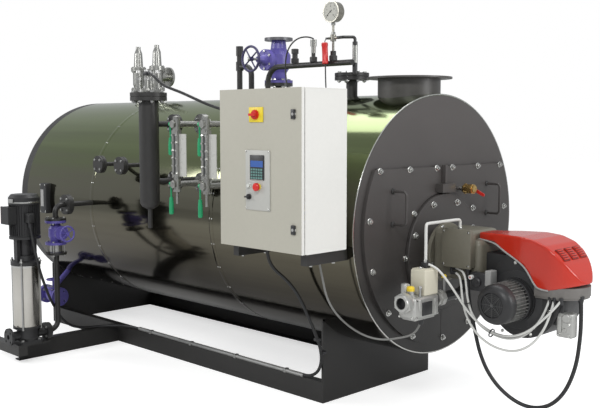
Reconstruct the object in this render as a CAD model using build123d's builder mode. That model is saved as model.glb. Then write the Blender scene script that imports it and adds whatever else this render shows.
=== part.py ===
from build123d import *
from math import cos, pi, radians, sin
import os

os.makedirs("parts", exist_ok=True)

# The frame: X runs along the boiler towards the burner, Y across it, Z up from the floor.
# X = 0 is the front saddle, and the control cabinet hangs on the -Y side.

# Boiler drum
boiler_radius = 725.0
axis_height = 1015.0
cladding_wall = 90.0
rear_end_x = -3001.0
smokebox_depth = 96.0
front_face_x = 435.0
front_plate_thickness = 30.0
cladding_lip = 9.0
seam_rear_x = -2000.0
seam_front_x = -690.0
seat_gap = 0.3
running_gap = 0.3

# Skid
saddle_half_width = 490.0
saddle_thickness = 12.0
saddle_height = 470.0
rear_saddle_x = -2972.0
beam_height = 120.0
beam_width = 55.0
beam_web = 8.0
pump_beam_x = -2050.0
pump_beam_end_y = -1266.0
bearer_height = 60.0
bearer_width = 64.0
bearer_rear_x = -2404.0
bearer_front_x = -1930.0
pump_plate_thickness = 12.0
pump_plate_length = 230.0

# Front covers
cover_radius = 662.0
cover_thickness = 20.0
cover_top_height = 1340.0
cover_seam = 3.0
burner_axis_height = 866.0
burner_plate_radius = 325.0
burner_plate_thickness = 40.0
handle_reach_y = 436.0
handle_low = 1051.0
handle_high = 1224.0
handle_depth = 90.0
handle_radius = 7.0

# Burner
burner_flange_radius = 165.0
burner_flange_thickness = 20.0
burner_body_width = 280.0
burner_body_low = 745.0
burner_body_high = 1010.0
burner_body_end_x = 800.0
control_box_x = 600.0
control_box_length = 160.0
control_box_low = 815.0
control_box_high = 1030.0
control_box_depth = 50.0
fan_x = 990.0
fan_height = 700.0
fan_radius = 225.0
fan_width = 150.0
fan_centre_y = -75.0
motor_radius = 100.0
motor_end_y = -350.0
hood_tip_x = 797.0
hood_nose_x = 1340.0
hood_half_width = 150.0
hood_tip_half_width = 48.0
air_box_end_x = 1340.0
air_box_low = 535.0
air_box_high = 705.0
air_box_width = 170.0
gas_x = 650.0
gas_height = 682.0
gas_port_y = -607.0
gas_valve_end_y = -290.0
gas_pipe_radius = 30.0

# Cabinet
cabinet_x = -190.0
cabinet_width = 600.0
cabinet_height = 800.0
cabinet_top = 1748.0
cabinet_back_y = -746.0
cabinet_front_y = -1040.0
cabinet_sheet = 3.0
door_gap = 5.0
door_depth = 18.0

# Fittings on the -Y side
upper_tap_height = 1573.0
lower_tap_height = 1240.0
tap_flange_y = -870.0
standpipe_x = -860.0
gauge_pitch = 260.0
standpipe_y = -1035.0
standpipe_radius = 57.0
standpipe_top = 1752.0
standpipe_bottom = 1084.0
spare_nozzle_height = 1309.0
spare_nozzle_xs = (-1675.0, -1428.0)

# Feed pump
pump_x = -1990.0
pump_y = -1232.0
pump_port_height = 187.0
pump_port_reach = 110.0
pump_sleeve_radius = 86.0
feed_pipe_y = -1008.0
feed_height = 1029.0
feed_flange_y = -920.0
feed_pipe_radius = 18.0

# Fittings on top
flue_x = 211.0
flue_radius = 178.0
flue_flange_radius = 243.0
flue_top = 1838.0
steam_x = -866.0
steam_top = 2130.0
steam_flange_radius = 92.0
steam_flange_low = 1838.0


def rod(start, end, radius, bore=0.0, mode=Mode.ADD):
    """A round bar between two points, or a tube where it has a bore."""
    start = Vector(*start)
    end = Vector(*end)
    with BuildSketch(Plane(origin=start, z_dir=end - start)) as section:
        Circle(radius)
        if bore > 0:
            Circle(bore, mode=Mode.SUBTRACT)
    extrude(section.sketch, amount=(end - start).length, mode=mode)


def block(low, high, mode=Mode.ADD):
    """A plain block between its lowest and its highest corner."""
    size = [b - a for a, b in zip(low, high)]
    middle = [(a + b) / 2 for a, b in zip(low, high)]
    with BuildSketch(Plane(origin=(middle[0], middle[1], low[2]))) as section:
        Rectangle(size[0], size[1])
    extrude(section.sketch, amount=size[2], mode=mode)


def rounded_block(low, high, axis, corner, mode=Mode.ADD):
    """A block whose four edges along one axis, "X", "Y" or "Z", are rounded."""
    size = [b - a for a, b in zip(low, high)]
    middle = [(a + b) / 2 for a, b in zip(low, high)]
    if axis == "X":
        plane = Plane(origin=(low[0], middle[1], middle[2]), x_dir=(0, 1, 0), z_dir=(1, 0, 0))
        across, up, along = size[1], size[2], size[0]
    elif axis == "Y":
        plane = Plane(origin=(middle[0], low[1], middle[2]), x_dir=(-1, 0, 0), z_dir=(0, 1, 0))
        across, up, along = size[0], size[2], size[1]
    else:
        plane = Plane(origin=(middle[0], middle[1], low[2]))
        across, up, along = size[0], size[1], size[2]
    with BuildSketch(plane) as section:
        RectangleRounded(across, up, corner)
    extrude(section.sketch, amount=along, mode=mode)


def turned(start, direction, stations, mode=Mode.ADD):
    """A turned piece: each station is its distance along the axis and its radius there."""
    axis_plane = Plane(origin=start, z_dir=direction)
    outline = [(0.0, stations[0][0])]
    outline += [(radius, distance) for distance, radius in stations]
    outline += [(0.0, stations[-1][0])]
    with BuildSketch(
        Plane(origin=start, x_dir=axis_plane.x_dir, z_dir=-axis_plane.y_dir)
    ) as half:
        with BuildLine():
            Polyline(*outline, close=True)
        make_face()
    revolve(half.sketch, axis=Axis(start, direction), mode=mode)


def bolt_holes(centre, axis, pitch_radius, count, hole_radius, depth):
    """A ring of bolt holes through a flange, drilled back from its face."""
    face = Plane(origin=centre, z_dir=axis)
    with BuildSketch(face) as holes:
        with PolarLocations(pitch_radius, count, start_angle=180 / count):
            Circle(hole_radius)
    extrude(holes.sketch, amount=-depth, mode=Mode.SUBTRACT)


def pipe(points, radius, bends):
    """A pipe or cable of straight runs joined by round bends."""
    with BuildLine() as route:
        FilletPolyline(*points, radius=bends)
    with BuildSketch(Plane(origin=route.line @ 0, z_dir=route.line % 0)) as section:
        Circle(radius)
    sweep(section.sketch, path=route.line)


def seat_on_drum():
    """Cuts the foot of a fitting to the round of the drum's cladding."""
    rod(
        (rear_end_x - 100, 0, axis_height),
        (front_face_x + 100, 0, axis_height),
        boiler_radius + seat_gap,
        mode=Mode.SUBTRACT,
    )


def handwheel(hub, axis, radius, rim, spokes, hub_length):
    """A handwheel: a rim, its spokes and a hub with the stem's nut, square to its axis."""
    wheel_plane = Plane(origin=hub, z_dir=axis)
    start = Vector(*hub) - wheel_plane.z_dir * (hub_length / 2)
    turned(start, axis, [(0, rim * 1.8), (hub_length, rim * 1.8)])
    with BuildSketch(
        Plane(origin=hub, x_dir=wheel_plane.x_dir, z_dir=-wheel_plane.y_dir)
    ) as section:
        with Locations((radius - rim, 0)):
            Circle(rim)
    revolve(section.sketch, axis=Axis(hub, axis))
    for spoke in range(spokes):
        turn = 2 * pi * (spoke + 0.4) / spokes
        outward = wheel_plane.x_dir * cos(turn) + wheel_plane.y_dir * sin(turn)
        rod(
            tuple(Vector(*hub) + outward * rim),
            tuple(Vector(*hub) + outward * (radius - rim)),
            rim * 0.6,
        )


# Skid: two saddle plates that carry the drum, and a channel down each side
with BuildPart() as saddles:
    for x in (0.0, rear_saddle_x):
        with BuildSketch(Plane.YZ.offset(x - saddle_thickness / 2)):
            with Locations((0, saddle_height / 2)):
                Rectangle(2 * saddle_half_width, saddle_height)
            with Locations((0, axis_height)):
                Circle(boiler_radius + seat_gap, mode=Mode.SUBTRACT)
        extrude(amount=saddle_thickness)
saddles.part.label = "saddles"
export_step(saddles.part, "parts/saddles.step")

with BuildPart() as side_beams:
    for side in (-1, 1):
        with BuildSketch(Plane.YZ.offset(rear_saddle_x + saddle_thickness / 2)):
            with Locations((side * (saddle_half_width - beam_width / 2), beam_height / 2)):
                Rectangle(beam_width, beam_height)
            with Locations((side * (saddle_half_width - beam_width / 2 - beam_web), beam_height / 2)):
                Rectangle(beam_width, beam_height - 2 * beam_web, mode=Mode.SUBTRACT)
        extrude(amount=-rear_saddle_x - saddle_thickness)
side_beams.part.label = "side_beams"
export_step(side_beams.part, "parts/side_beams.step")

# Outrigger that carries the feed pump: a channel across, a bearer along and a foot plate
with BuildPart() as pump_skid:
    block(
        (pump_beam_x - beam_width, pump_beam_end_y, 0),
        (pump_beam_x, -saddle_half_width, beam_height),
    )
    block(
        (pump_beam_x - beam_width - beam_web, pump_beam_end_y - 1, beam_web),
        (pump_beam_x - beam_web, -saddle_half_width + 1, beam_height - beam_web),
        mode=Mode.SUBTRACT,
    )
    block(
        (bearer_rear_x, pump_beam_end_y - bearer_width, beam_height - bearer_height),
        (bearer_front_x, pump_beam_end_y, beam_height),
    )
    block(
        (pump_beam_x - beam_width, pump_beam_end_y - bearer_width, beam_height),
        (
            bearer_front_x,
            pump_beam_end_y - bearer_width + pump_plate_length,
            beam_height + pump_plate_thickness,
        ),
    )
pump_skid.part.label = "pump_skid"
export_step(pump_skid.part, "parts/pump_skid.step")

# Drum: three lengths of clad shell, each a ring with the wall of sheet, wool and shell plate
shell_inner_radius = boiler_radius - cladding_wall
cladding_end_x = front_face_x - 2.0
smokebox_front_x = rear_end_x + smokebox_depth
front_plate_back_x = front_face_x - front_plate_thickness

with BuildPart() as cladding_rear:
    rod(
        (smokebox_front_x, 0, axis_height),
        (seam_rear_x, 0, axis_height),
        boiler_radius,
        shell_inner_radius,
    )
cladding_rear.part.label = "cladding_rear"
export_step(cladding_rear.part, "parts/cladding_rear.step")

with BuildPart() as cladding_middle:
    rod(
        (seam_rear_x, 0, axis_height),
        (seam_front_x, 0, axis_height),
        boiler_radius,
        shell_inner_radius,
    )
cladding_middle.part.label = "cladding_middle"
export_step(cladding_middle.part, "parts/cladding_middle.step")

with BuildPart() as cladding_front:
    rod(
        (seam_front_x, 0, axis_height),
        (cladding_end_x, 0, axis_height),
        boiler_radius,
        shell_inner_radius,
    )
    rod(
        (front_plate_back_x, 0, axis_height),
        (front_face_x, 0, axis_height),
        boiler_radius - cladding_lip,
        mode=Mode.SUBTRACT,
    )
cladding_front.part.label = "cladding_front"
export_step(cladding_front.part, "parts/cladding_front.step")

with BuildPart() as front_plate:
    rod(
        (front_plate_back_x, 0, axis_height),
        (front_face_x, 0, axis_height),
        boiler_radius - cladding_lip - seat_gap,
    )
front_plate.part.label = "front_plate"
export_step(front_plate.part, "parts/front_plate.step")

# Rear end: a black pan with a bolted inspection cover low down
rear_wall = 12.0
rear_cover_radius = 210.0
rear_cover_thickness = 18.0
with BuildPart() as rear_smokebox:
    turned(
        (smokebox_front_x, 0, axis_height),
        (-1, 0, 0),
        [(0, boiler_radius), (smokebox_depth - 10, boiler_radius), (smokebox_depth, boiler_radius - 10)],
    )
    rod(
        (smokebox_front_x, 0, axis_height),
        (rear_end_x + rear_wall, 0, axis_height),
        boiler_radius - rear_wall,
        mode=Mode.SUBTRACT,
    )
    rod(
        (rear_end_x, 0, burner_axis_height),
        (rear_end_x - rear_cover_thickness, 0, burner_axis_height),
        rear_cover_radius,
    )
rear_smokebox.part.label = "rear_smokebox"
export_step(rear_smokebox.part, "parts/rear_smokebox.step")

# Front covers: two half-round plates with a lifting handle on each
cover_face_x = front_face_x + cover_thickness
for side, name in ((-1, "smokebox_cover_left"), (1, "smokebox_cover_right")):
    with BuildPart() as smokebox_cover:
        with BuildSketch(Plane.YZ.offset(front_face_x)):
            with Locations((0, axis_height)):
                Circle(cover_radius)
            with Locations((0, cover_top_height + cover_radius)):
                Rectangle(2 * cover_radius, 2 * cover_radius, mode=Mode.SUBTRACT)
            with Locations((0, burner_axis_height)):
                Circle(burner_plate_radius + cover_seam, mode=Mode.SUBTRACT)
            with Locations((side * (cover_seam / 2 - cover_radius), axis_height)):
                Rectangle(2 * cover_radius, 2 * cover_radius, mode=Mode.SUBTRACT)
        extrude(amount=cover_thickness)
        handle_out_x = cover_face_x + handle_depth
        handle_y = side * handle_reach_y
        pipe(
            [
                (cover_face_x, handle_y, handle_low),
                (handle_out_x, handle_y, handle_low),
                (handle_out_x, handle_y, handle_high),
                (cover_face_x, handle_y, handle_high),
            ],
            handle_radius,
            20.0,
        )
    smokebox_cover.part.label = name
    export_step(smokebox_cover.part, f"parts/{name}.step")

# Burner plate, with the strip that covers the joint of the two halves above it
burner_face_x = front_face_x + burner_plate_thickness
with BuildPart() as burner_plate:
    turned(
        (front_face_x, 0, burner_axis_height),
        (1, 0, 0),
        [
            (0, burner_plate_radius),
            (burner_plate_thickness - 4, burner_plate_radius),
            (burner_plate_thickness, burner_plate_radius - 4),
        ],
    )
burner_plate.part.label = "burner_plate"
export_step(burner_plate.part, "parts/burner_plate.step")

with BuildPart() as seam_strip:
    block((cover_face_x, -10, 1246), (cover_face_x + 25, 10, 1348))
    block((cover_face_x, -60, 1198), (cover_face_x + 45, 60, 1246))
seam_strip.part.label = "seam_strip"
export_step(seam_strip.part, "parts/seam_strip.step")

# Brass purge valve on the right-hand cover, with its red lever
purge_y = 137.0
purge_height = 1212.0
purge_body_x = cover_face_x + 75
lever_y = purge_y + 40
with BuildPart() as purge_valve:
    turned(
        (cover_face_x, purge_y, purge_height),
        (1, 0, 0),
        [(0, 12), (38, 12), (38, 19), (50, 19), (50, 26), (100, 26), (100, 21), (118, 21)],
    )
    rod(
        (purge_body_x, purge_y, purge_height),
        (purge_body_x, lever_y - 1 - running_gap, purge_height),
        9,
    )
purge_valve.part.label = "purge_valve"
export_step(purge_valve.part, "parts/purge_valve.step")

lever_length = 88.0
lever_drop = radians(25)
with BuildPart() as purge_valve_lever:
    rod((purge_body_x, lever_y - 1, purge_height), (purge_body_x, lever_y + 5, purge_height), 11)
    lever_plane = Plane(
        origin=(purge_body_x, lever_y + 2, purge_height),
        x_dir=(cos(lever_drop), 0, -sin(lever_drop)),
        z_dir=(0, 1, 0),
    )
    with BuildSketch(lever_plane) as lever_outline:
        with Locations((lever_length / 2, 0)):
            SlotOverall(lever_length, 17)
    extrude(lever_outline.sketch, amount=3, both=True)
purge_valve_lever.part.label = "purge_valve_lever"
export_step(purge_valve_lever.part, "parts/purge_valve_lever.step")

# Burner head casting, bolted to the plate
body_half = burner_body_width / 2
with BuildPart() as burner_body:
    rod(
        (burner_face_x, 0, burner_axis_height),
        (burner_face_x + burner_flange_thickness, 0, burner_axis_height),
        burner_flange_radius,
    )
    rounded_block(
        (burner_face_x + burner_flange_thickness, -body_half, burner_body_low),
        (burner_body_end_x, body_half, burner_body_high),
        "X",
        30,
    )
    rod(
        (fan_x, fan_centre_y - fan_width, fan_height),
        (fan_x, fan_centre_y + fan_width, fan_height),
        fan_radius + seat_gap,
        mode=Mode.SUBTRACT,
    )
burner_body.part.label = "burner_body"
export_step(burner_body.part, "parts/burner_body.step")

with BuildPart() as control_box:
    block(
        (control_box_x, -body_half - control_box_depth, control_box_low),
        (control_box_x + control_box_length, -body_half, control_box_high - 22),
    )
    block(
        (control_box_x - 4, -body_half - control_box_depth, control_box_low - 4),
        (control_box_x + control_box_length + 4, -body_half - control_box_depth + 14, control_box_high),
    )
control_box.part.label = "burner_control_box"
export_step(control_box.part, "parts/burner_control_box.step")

# Fan housing under the hood, with its motor on the left and the air intake ahead
fan_low_y = fan_centre_y - fan_width / 2
fan_high_y = fan_centre_y + fan_width / 2
with BuildPart() as fan_housing:
    rod((fan_x, fan_low_y, fan_height), (fan_x, fan_high_y, fan_height), fan_radius)
fan_housing.part.label = "fan_housing"
export_step(fan_housing.part, "parts/fan_housing.step")

with BuildPart() as burner_motor:
    turned(
        (fan_x, fan_low_y, fan_height),
        (0, -1, 0),
        [
            (0, 112),
            (22, 112),
            (22, motor_radius - 8),
            (130, motor_radius - 8),
            (130, motor_radius + 4),
            (185, motor_radius + 4),
            (fan_low_y - motor_end_y, motor_radius - 10),
        ],
    )
burner_motor.part.label = "burner_motor"
export_step(burner_motor.part, "parts/burner_motor.step")

with BuildPart() as air_intake:
    block(
        (fan_x + 150, fan_centre_y - air_box_width / 2, air_box_low),
        (air_box_end_x, fan_centre_y + air_box_width / 2, air_box_high),
    )
    rod(
        (fan_x, fan_centre_y - air_box_width, fan_height),
        (fan_x, fan_centre_y + air_box_width, fan_height),
        fan_radius + seat_gap,
        mode=Mode.SUBTRACT,
    )
air_intake.part.label = "air_intake_box"
export_step(air_intake.part, "parts/air_intake_box.step")

# Hood: its side outline and its plan outline, crossed
hood_side = [
    (hood_tip_x, 978),
    (hood_tip_x, 1022),
    (1240, 1040),
    (1290, 1020),
    (1325, 970),
    (hood_nose_x, 900),
    (hood_nose_x, 820),
    (1300, 766),
    (1156, 753),
    (1105, 791),
    (1071, 832),
    (1036, 859),
    (925, 907),
    (858, 952),
]
nose_radius = hood_half_width
nose_centre_x = hood_nose_x - nose_radius
hood_shoulder_x = 1060.0


with BuildPart() as burner_hood:
    with BuildSketch(Plane.XZ.offset(-hood_half_width)) as side_sketch:
        with BuildLine():
            Polyline(*hood_side, close=True)
        make_face()
    extrude(side_sketch.sketch, amount=2 * hood_half_width)
    with BuildSketch(Plane.XY.offset(600)) as plan_sketch:
        with BuildLine():
            Polyline(
                (nose_centre_x, hood_half_width),
                (hood_shoulder_x, hood_half_width),
                (hood_tip_x, hood_tip_half_width),
                (hood_tip_x, -hood_tip_half_width),
                (hood_shoulder_x, -hood_half_width),
                (nose_centre_x, -hood_half_width),
            )
            ThreePointArc(
                (nose_centre_x, -hood_half_width),
                (hood_nose_x, 0),
                (nose_centre_x, hood_half_width),
            )
        make_face()
    extrude(plan_sketch.sketch, amount=600, mode=Mode.INTERSECT)
    rod(
        (fan_x, fan_low_y - 30, fan_height),
        (fan_x, fan_high_y + 30, fan_height),
        fan_radius + seat_gap,
        mode=Mode.SUBTRACT,
    )
    block(
        (hood_tip_x - 10, -body_half - 5, 900),
        (burner_body_end_x + seat_gap, body_half + 5, burner_body_high + seat_gap),
        mode=Mode.SUBTRACT,
    )
burner_hood.part.label = "burner_hood"
export_step(burner_hood.part, "parts/burner_hood.step")

# Gas train: valve block, its coil, and the pipe into the burner head
with BuildPart() as gas_valve:
    rounded_block(
        (gas_x - 52, gas_port_y + 37, gas_height - 120),
        (gas_x + 52, gas_valve_end_y, gas_height + 33),
        "Y",
        16,
    )
    turned(
        (gas_x, gas_port_y, gas_height),
        (0, 1, 0),
        [(0, 42), (12, 48), (37, 48)],
    )
    rod((gas_x, gas_port_y, gas_height), (gas_x, gas_port_y + 60, gas_height), 28.5, mode=Mode.SUBTRACT)
    rod((gas_x - 20, -560, gas_height + 31), (gas_x - 20, -560, gas_height + 110), 22)
gas_valve.part.label = "gas_valve"
export_step(gas_valve.part, "parts/gas_valve.step")

with BuildPart() as gas_coil:
    rounded_block((gas_x - 50, -430, gas_height + 33), (gas_x + 50, -308, gas_height + 139), "Z", 6)
gas_coil.part.label = "gas_valve_coil"
export_step(gas_coil.part, "parts/gas_valve_coil.step")

with BuildPart() as gas_pipe:
    pipe(
        [
            (gas_x, gas_valve_end_y, gas_height),
            (gas_x, -60, gas_height),
            (gas_x, -60, burner_body_low),
        ],
        gas_pipe_radius,
        50.0,
    )
gas_pipe.part.label = "gas_pipe"
export_step(gas_pipe.part, "parts/gas_pipe.step")

with BuildPart() as pilot_pipe:
    pipe(
        [
            (gas_x, -400, gas_height + 139),
            (gas_x, -400, 1066),
            (gas_x, -180, 1066),
            (gas_x, -180, control_box_high),
        ],
        8.0,
        22.0,
    )
pilot_pipe.part.label = "pilot_pipe"
export_step(pilot_pipe.part, "parts/pilot_pipe.step")

with BuildPart() as pressure_switch:
    block((672, -body_half - 45, burner_body_low), (762, -body_half, burner_body_low + 62))
pressure_switch.part.label = "air_pressure_switch"
export_step(pressure_switch.part, "parts/air_pressure_switch.step")

# Control cabinet: a sheet box open at the front, its door a shallow pan on two hinges
door_back_y = cabinet_front_y - door_gap
door_front_y = door_back_y - door_depth
cabinet_end_x = cabinet_x + cabinet_width
cabinet_bottom = cabinet_top - cabinet_height
hinge_x = cabinet_x - 6.0
hinge_y = cabinet_front_y - 6.0
hinge_heights = (cabinet_bottom + 120.0, cabinet_top - 120.0)
knuckle_radius = 5.0
knuckle_length = 26.0
pin_radius = 2.5
with BuildPart() as cabinet_body:
    block((cabinet_x, cabinet_front_y, cabinet_bottom), (cabinet_end_x, cabinet_back_y, cabinet_top))
    block(
        (cabinet_x + cabinet_sheet, cabinet_front_y - 1, cabinet_bottom + cabinet_sheet),
        (cabinet_end_x - cabinet_sheet, cabinet_back_y - cabinet_sheet, cabinet_top - cabinet_sheet),
        mode=Mode.SUBTRACT,
    )
    for height in hinge_heights:
        rod((hinge_x, hinge_y, height), (hinge_x, hinge_y, height + knuckle_length), knuckle_radius)
        block(
            (hinge_x - 2, hinge_y, height),
            (cabinet_x, cabinet_front_y + 22, height + knuckle_length),
        )
        rod(
            (hinge_x, hinge_y, height - 1),
            (hinge_x, hinge_y, height + knuckle_length + 1),
            pin_radius + 0.4,
            mode=Mode.SUBTRACT,
        )
cabinet_body.part.label = "cabinet_body"
export_step(cabinet_body.part, "parts/cabinet_body.step")

with BuildPart() as cabinet_door:
    block((cabinet_x, door_front_y, cabinet_bottom), (cabinet_end_x, door_back_y, cabinet_top))
    block(
        (cabinet_x + cabinet_sheet, door_front_y + cabinet_sheet, cabinet_bottom + cabinet_sheet),
        (cabinet_end_x - cabinet_sheet, door_back_y + 1, cabinet_top - cabinet_sheet),
        mode=Mode.SUBTRACT,
    )
    for height in hinge_heights:
        lug_low = height + knuckle_length + 5
        rod((hinge_x, hinge_y, height), (hinge_x, hinge_y, lug_low + 12), pin_radius)
        rod((hinge_x, hinge_y, lug_low), (hinge_x, hinge_y, lug_low + 12), knuckle_radius)
        block((hinge_x, hinge_y - 8, lug_low), (cabinet_x + 1, hinge_y - 2, lug_low + 12))
cabinet_door.part.label = "cabinet_door"
export_step(cabinet_door.part, "parts/cabinet_door.step")

# Door fittings: two locks, the switch plate and the operating panel with its screen and keys
lock_x = 356.0
lock_heights = (1621.0, 1066.0)
switch_x = 92.0
switch_height = 1620.0
panel_low_x = 16.0
panel_high_x = 190.0
panel_low = 1146.0
panel_high = 1442.0
panel_face_y = door_front_y - 4
with BuildPart() as door_fittings:
    for height in lock_heights:
        turned((lock_x, door_front_y, height), (0, -1, 0), [(0, 15), (6, 15), (9, 12)])
    block((switch_x - 45, door_front_y - 5, switch_height - 36), (switch_x + 45, door_front_y, switch_height + 36))
    block((panel_low_x, panel_face_y, panel_low), (panel_high_x, door_front_y, panel_high))
    block((60, panel_face_y - 6, 1296), (148, panel_face_y, 1414))
    rod((44, panel_face_y, 1266), (44, panel_face_y - 12, 1266), 11)
    turned((112, panel_face_y, 1262), (0, -1, 0), [(0, 15), (14, 15), (14, 20), (24, 20), (28, 16)])
door_fittings.part.label = "door_fittings"
export_step(door_fittings.part, "parts/door_fittings.step")

with BuildPart() as main_switch:
    turned((switch_x, door_front_y - 5.3, switch_height), (0, -1, 0), [(0, 24), (10, 24), (10, 20), (16, 20)])
    block((switch_x - 22, door_front_y - 36, switch_height - 6), (switch_x + 22, door_front_y - 20, switch_height + 6))
main_switch.part.label = "main_switch_knob"
export_step(main_switch.part, "parts/main_switch_knob.step")

selector_x = 44.0
selector_height = 1210.0
with BuildPart() as selector:
    turned((selector_x, panel_face_y - 0.3, selector_height), (0, -1, 0), [(0, 14), (12, 14), (12, 11), (16, 11)])
    block((selector_x - 12, panel_face_y - 28, selector_height - 4), (selector_x + 12, panel_face_y - 16, selector_height + 4))
selector.part.label = "selector_knob"
export_step(selector.part, "parts/selector_knob.step")

# Two bracket arms that carry the cabinet from the drum
bracket_width = 40.0
bracket_height = 62.0
with BuildPart() as cabinet_brackets:
    for x in (cabinet_x + 40, cabinet_end_x - 60):
        block((x, cabinet_front_y + 30, cabinet_bottom - bracket_height), (x + bracket_width, -500, cabinet_bottom))
    seat_on_drum()
cabinet_brackets.part.label = "cabinet_brackets"
export_step(cabinet_brackets.part, "parts/cabinet_brackets.step")

# Flue outlet: a short round duct with a plain flange, open at the top
flue_wall = 6.0
with BuildPart() as flue_outlet:
    rod((flue_x, 0, axis_height), (flue_x, 0, flue_top), flue_radius)
    rod((flue_x, 0, flue_top - 10), (flue_x, 0, flue_top), flue_flange_radius)
    rod((flue_x, 0, axis_height - 1), (flue_x, 0, flue_top + 1), flue_radius - flue_wall, mode=Mode.SUBTRACT)
    seat_on_drum()
flue_outlet.part.label = "flue_outlet"
export_step(flue_outlet.part, "parts/flue_outlet.step")

# Spare nozzles: one on top and two on the side, each closed by a blind flange
top_nozzle_x = -225.0
top_nozzle_radius = 34.0
top_nozzle_flange_radius = 104.0
spare_pipe_radius = 14.0
spare_flange_radius = 57.0
with BuildPart() as spare_nozzles:
    rod((top_nozzle_x, 0, axis_height + 500), (top_nozzle_x, 0, 1840), top_nozzle_radius)
    rod((top_nozzle_x, 0, 1836), (top_nozzle_x, 0, 1856), top_nozzle_flange_radius)
    rod((top_nozzle_x, 0, 1856), (top_nozzle_x, 0, 1859), top_nozzle_flange_radius - 30)
    rod((top_nozzle_x, 0, 1859), (top_nozzle_x, 0, 1879), top_nozzle_flange_radius)
    for x in spare_nozzle_xs:
        rod((x, -300, spare_nozzle_height), (x, tap_flange_y, spare_nozzle_height), spare_pipe_radius)
        turned(
            (x, tap_flange_y + 36, spare_nozzle_height),
            (0, -1, 0),
            [
                (0, spare_flange_radius),
                (17, spare_flange_radius),
                (17, spare_flange_radius - 20),
                (19, spare_flange_radius - 20),
                (19, spare_flange_radius),
                (36, spare_flange_radius),
            ],
        )
    seat_on_drum()
spare_nozzles.part.label = "spare_nozzles"
export_step(spare_nozzles.part, "parts/spare_nozzles.step")

# Steam stop valve on its nozzle: a flanged globe body with the bonnet towards -Y
steam_bonnet_y = -125.0
steam_wheel_y = -245.0
steam_wheel_radius = 86.0
steam_hub_length = 30.0
steam_valve_height = (steam_flange_low + steam_top) / 2
with BuildPart() as steam_valve:
    rod((steam_x, 0, axis_height + 500), (steam_x, 0, steam_flange_low), 36)
    rod((steam_x, 0, steam_flange_low - 20), (steam_x, 0, steam_flange_low + 18), steam_flange_radius)
    turned(
        (steam_x, 0, steam_flange_low + 18),
        (0, 0, 1),
        [(0, 46), (50, 52), (90, 78), (165, 78), (205, 52), (steam_top - steam_flange_low - 36, 46)],
    )
    rod((steam_x, 0, steam_top - 18), (steam_x, 0, steam_top), steam_flange_radius)
    rod((steam_x, 0, steam_valve_height), (steam_x, steam_bonnet_y, steam_valve_height), 52)
    rod((steam_x, -96, steam_valve_height), (steam_x, steam_bonnet_y, steam_valve_height), 68)
    turned(
        (steam_x, steam_bonnet_y, steam_valve_height),
        (0, -1, 0),
        [
            (0, 40),
            (25, 26),
            (60, 20),
            (60, 8),
            (steam_bonnet_y - steam_wheel_y - steam_hub_length / 2 - running_gap, 8),
        ],
    )
    rod((steam_x, 0, steam_top + 1), (steam_x, 0, steam_top - 90), 33, mode=Mode.SUBTRACT)
    bolt_holes((steam_x, 0, steam_top), (0, 0, 1), 72.5, 8, 9.0, 18.0)
    seat_on_drum()
steam_valve.part.label = "steam_valve"
export_step(steam_valve.part, "parts/steam_valve.step")

with BuildPart() as steam_wheel:
    handwheel((steam_x, steam_wheel_y, steam_valve_height), (0, -1, 0), steam_wheel_radius, 8.0, 4, steam_hub_length)
steam_wheel.part.label = "steam_valve_wheel"
export_step(steam_wheel.part, "parts/steam_valve_wheel.step")

# Instrument pipe with three sockets, its siphon leg, and the vent pipe behind it
manifold_height = 1931.0
manifold_end_x = -88.0
manifold_y = -150.0
leg_x = -808.0
sensor_x = -403.0
gauge_x = -240.0
vent_x = -1253.0
with BuildPart() as top_pipes:
    pipe(
        [
            (manifold_end_x, manifold_y, manifold_height),
            (leg_x, manifold_y, manifold_height),
            (leg_x, manifold_y, axis_height + 500),
        ],
        17.0,
        100.0,
    )
    for x, radius, top in ((-562, 17, 2018), (sensor_x, 12, 2000), (gauge_x, 17, 2003)):
        rod((x, manifold_y, manifold_height), (x, manifold_y, top), radius)
    rod((vent_x, 0, axis_height + 500), (vent_x, 0, 2100), 19)
    rod((vent_x, 0, 2035), (vent_x, 0, 2100), 24)
    rod((vent_x, 0, 1935), (vent_x, 0, 1995), 25)
    pipe([(vent_x, 0, 1960), (vent_x + 120, 0, 1960), (vent_x + 120, 0, axis_height + 500)], 19.0, 60.0)
    seat_on_drum()
top_pipes.part.label = "top_pipes"
export_step(top_pipes.part, "parts/top_pipes.step")

# Pressure gauge on its cock
gauge_height = 2231.0
with BuildPart() as pressure_gauge:
    turned(
        (gauge_x, manifold_y, gauge_height),
        (0, -1, 0),
        [(-42, 50), (-30, 59), (16, 59), (16, 64), (24, 64), (24, 58)],
    )
    rod((gauge_x, manifold_y, 2003), (gauge_x, manifold_y, gauge_height - 40), 7)
    rod((gauge_x, manifold_y, 2060), (gauge_x, manifold_y, 2098), 17)
    rod((gauge_x - 36, manifold_y, 2079), (gauge_x + 36, manifold_y, 2079), 8)
pressure_gauge.part.label = "pressure_gauge"
export_step(pressure_gauge.part, "parts/pressure_gauge.step")

limiter_x = -108.0
limiter_y = manifold_y + 45
with BuildPart() as instruments:
    pipe(
        [
            (gauge_x + 36, manifold_y, 2079),
            (gauge_x + 80, manifold_y, 2079),
            (limiter_x, limiter_y, 2079),
            (limiter_x, limiter_y, 2045),
        ],
        9.0,
        15.0,
    )
    rod((limiter_x, limiter_y, 2052), (limiter_x, limiter_y, 1866), 15)
    rod((sensor_x, manifold_y, 2000), (sensor_x, manifold_y, 2040), 14)
    rod((sensor_x, manifold_y, 2040), (sensor_x, manifold_y, 2080), 19)
instruments.part.label = "pressure_instruments"
export_step(instruments.part, "parts/pressure_instruments.step")

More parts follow.
